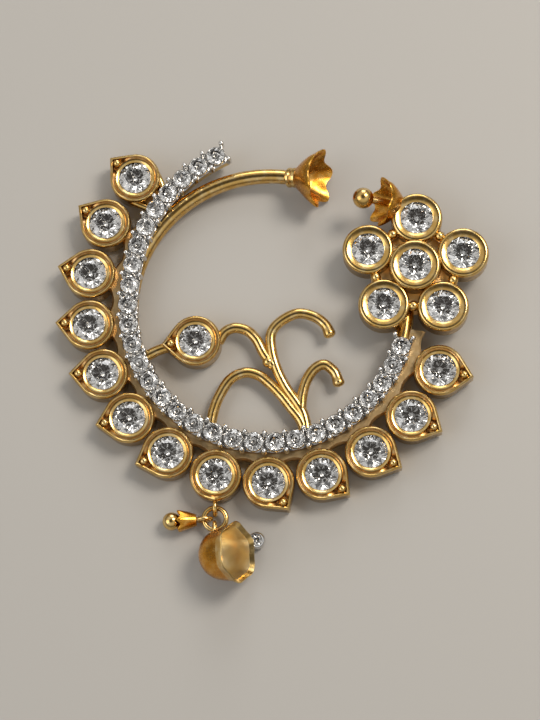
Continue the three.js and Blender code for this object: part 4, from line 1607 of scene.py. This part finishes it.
@dataclass
class Studio:
    """Pale floor, soft light and the camera that looks from where the photograph was taken."""

    camera_mm: tuple[float, float, float] = (7.16, -36.4, 148.0)
    photo_pitch: float = 67.6
    field_mm: float = 43.0
    sensor_mm: float = 36.0
    clip_start: float = 0.005
    exposure: float = -0.26
    world_strength: float = 0.85
    floor_half: float = 1.5
    target: tuple[float, float, float] = (0.0, 0.0, 0.0015)

    def camera(self) -> None:
        """Adds the camera: the photograph's viewpoint and upright, with a longer lens turned to the ring."""
        data = bpy.data.cameras.new("camera")
        data.sensor_fit = "HORIZONTAL"
        data.sensor_width = self.sensor_mm
        place, target = Vector(self.camera_mm) * MM, Vector(self.target)
        ahead = (target - place).normalized()
        pitch = math.radians(self.photo_pitch)
        photo_up = Vector((0.0, math.sin(pitch), math.cos(pitch)))
        right = ahead.cross(photo_up).normalized()
        up = right.cross(ahead)
        data.lens = self.sensor_mm * (target - place).length / (self.field_mm * MM)
        data.clip_start = self.clip_start
        camera = bpy.data.objects.new("camera", data)
        camera.matrix_world = Matrix.Translation(place) @ Matrix((right, up, -ahead)).transposed().to_4x4()
        bpy.context.scene.collection.objects.link(camera)
        bpy.context.scene.camera = camera

    def floor(self) -> None:
        """Adds the floor."""
        mesh = bpy.data.meshes.new("floor")
        half = self.floor_half
        corners = [(-half, -half, 0), (half, -half, 0), (half, half, 0), (-half, half, 0)]
        mesh.from_pydata(corners, [], [[0, 1, 2, 3]])
        mesh.materials.append(StudioFloor().make())
        floor = bpy.data.objects.new("floor", mesh)
        bpy.context.scene.collection.objects.link(floor)

    def world(self) -> None:
        """Adds the surroundings, whose shade goes by height alone."""
        world = bpy.data.worlds.new("studio")
        world.use_nodes = True
        tree = world.node_tree
        tree.nodes.clear()
        place = add_node(tree, "ShaderNodeTexCoord")
        split = add_node(tree, "ShaderNodeSeparateXYZ", None, {"Vector": place.outputs["Generated"]})
        ramp = add_node(tree, "ShaderNodeValToRGB", None, {"Fac": split.outputs["Z"]})
        stops = ramp.color_ramp.elements
        for share, _ in SURROUNDINGS[1:-1]:
            stops.new(share)
        for stop, (share, shade) in zip(stops, SURROUNDINGS):
            stop.position = share
            stop.color = srgb(shade)
        back = add_node(tree, "ShaderNodeBackground", {"Strength": self.world_strength},
                        {"Color": ramp.outputs["Color"]})
        add_node(tree, "ShaderNodeOutputWorld", None, {"Surface": back.outputs["Background"]})
        bpy.context.scene.world = world

    def build(self) -> None:
        """Adds the floor, the lamps, the surroundings and the camera."""
        self.floor()
        for lamp in LAMPS:
            lamp.build()
        self.world()
        view = bpy.context.scene.view_settings
        view.view_transform = "Standard"
        view.exposure = self.exposure
        self.camera()


@dataclass
class NoseRing:
    """The whole ring: its sub-assemblies and where its plane lies in the frame."""

    finishes: Finishes
    hoop: Hoop = field(default_factory=Hoop)
    bezel: Bezel = field(default_factory=Bezel)
    eye: Eye = field(default_factory=Eye)
    mount_pear: int = 8
    seed: int = 5

    def __post_init__(self) -> None:
        """Builds the sub-assemblies from the shared sizes."""
        pear = PearBezel(self.bezel)
        self.wreath = PearWreath(self.hoop, pear, self.eye)
        self.flower = Flower(self.bezel)
        self.scrolls = ScrollWork(self.hoop, pear)
        self.clasp = Clasp(self.hoop)
        self.row = StoneRow(self.hoop)

    def plane(self) -> Matrix:
        """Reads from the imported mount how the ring's plane lies in the frame.

        Returns:
            The matrix from the plane to the frame, both in millimetres.
        """
        mount = frame["record"]["mounts"][0]
        turn = UP.rotation_difference(-Vector(mount["axis"])).to_matrix().to_4x4()
        back = self.wreath.place(self.mount_pear)
        return Matrix.Translation(Vector(mount["pos_m"]) / MM - turn @ back) @ turn

    def stones(self) -> dict[str, Vector]:
        """Finds the main stones' girdles in the ring's plane.

        Returns:
            Their places by node name.
        """
        places = {f"pear_stone_{index + 1:02d}": self.wreath.place(index) for index in range(len(PEAR_TABLE))}
        places |= {f"petal_stone_{index + 1}": self.flower.petal(index)
                   for index in range(self.flower.petals)}
        places |= {"flower_centre_stone": self.flower.centre(), "scroll_stone": self.scrolls.place()}
        return {name: self.bezel.stone_place(place) for name, place in places.items()}

    def build(self) -> None:
        """Builds every piece of the ring and its drop."""
        plane = self.plane()
        to_metres = Matrix.Scale(MM, 4)
        to_frame = to_metres @ plane
        shades = self.finishes
        # The last two are darker copies of the plate: painted shade for recesses and cups.
        gold = [shades.gold, shades.foil, shades.recess_shade_gold, shades.cup_shade_gold]
        parts: dict[str, list[Callable[[MeshMaker], None]]] = {
            "hoop_wire": [self.hoop.build, self.row.build_seat],
            "pear_wreath": [self.wreath.build],
            "stone_flower": [self.flower.build],
            "scroll_work": [self.scrolls.build],
            "press_clasp": [self.clasp.build],
        }
        for name, builders in parts.items():
            maker = MeshMaker()
            for builder in builders:
                builder(maker)
            maker.build(name, "gold_frame", to_frame, gold, Slot.GOLD)
        maker = MeshMaker()
        self.row.build(maker)
        white = [shades.rhodium, shades.stone, shades.foil]
        maker.build("stone_row_fine", "pave_row", to_frame, white, Slot.ROW, cut_slots=(RowSlot.STONE,))
        rng = random.Random(self.seed)
        for name, place in self.stones().items():
            stone = MeshMaker()
            spin = rng.uniform(0, StoneCut.repeat)
            stone.hull(StoneCut().points(self.bezel.stone, Matrix.Translation(place), spin))
            stone.build(f"{name}_cut", name, to_frame, [shades.stone], Slot.CRYSTAL, Shading.FACETED)
        Drop(self.eye, plane @ self.wreath.hook(), to_metres, shades).build()


def main() -> None:
    """Builds the finishes, the ring and the studio."""
    logging.basicConfig(level=logging.INFO, format="%(message)s")
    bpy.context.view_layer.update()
    kinds = (GoldPlatedBrass(), SHADED_RECESS_GOLD, SHADED_PRESSED_GOLD, SATIN_LIT_GOLD,
             RhodiumPlate(), StoneFoil(), CubicZirconia())
    NoseRing(Finishes(*(kind.make() for kind in kinds))).build()
    Studio().build()


if __name__ == "__main__":
    main()
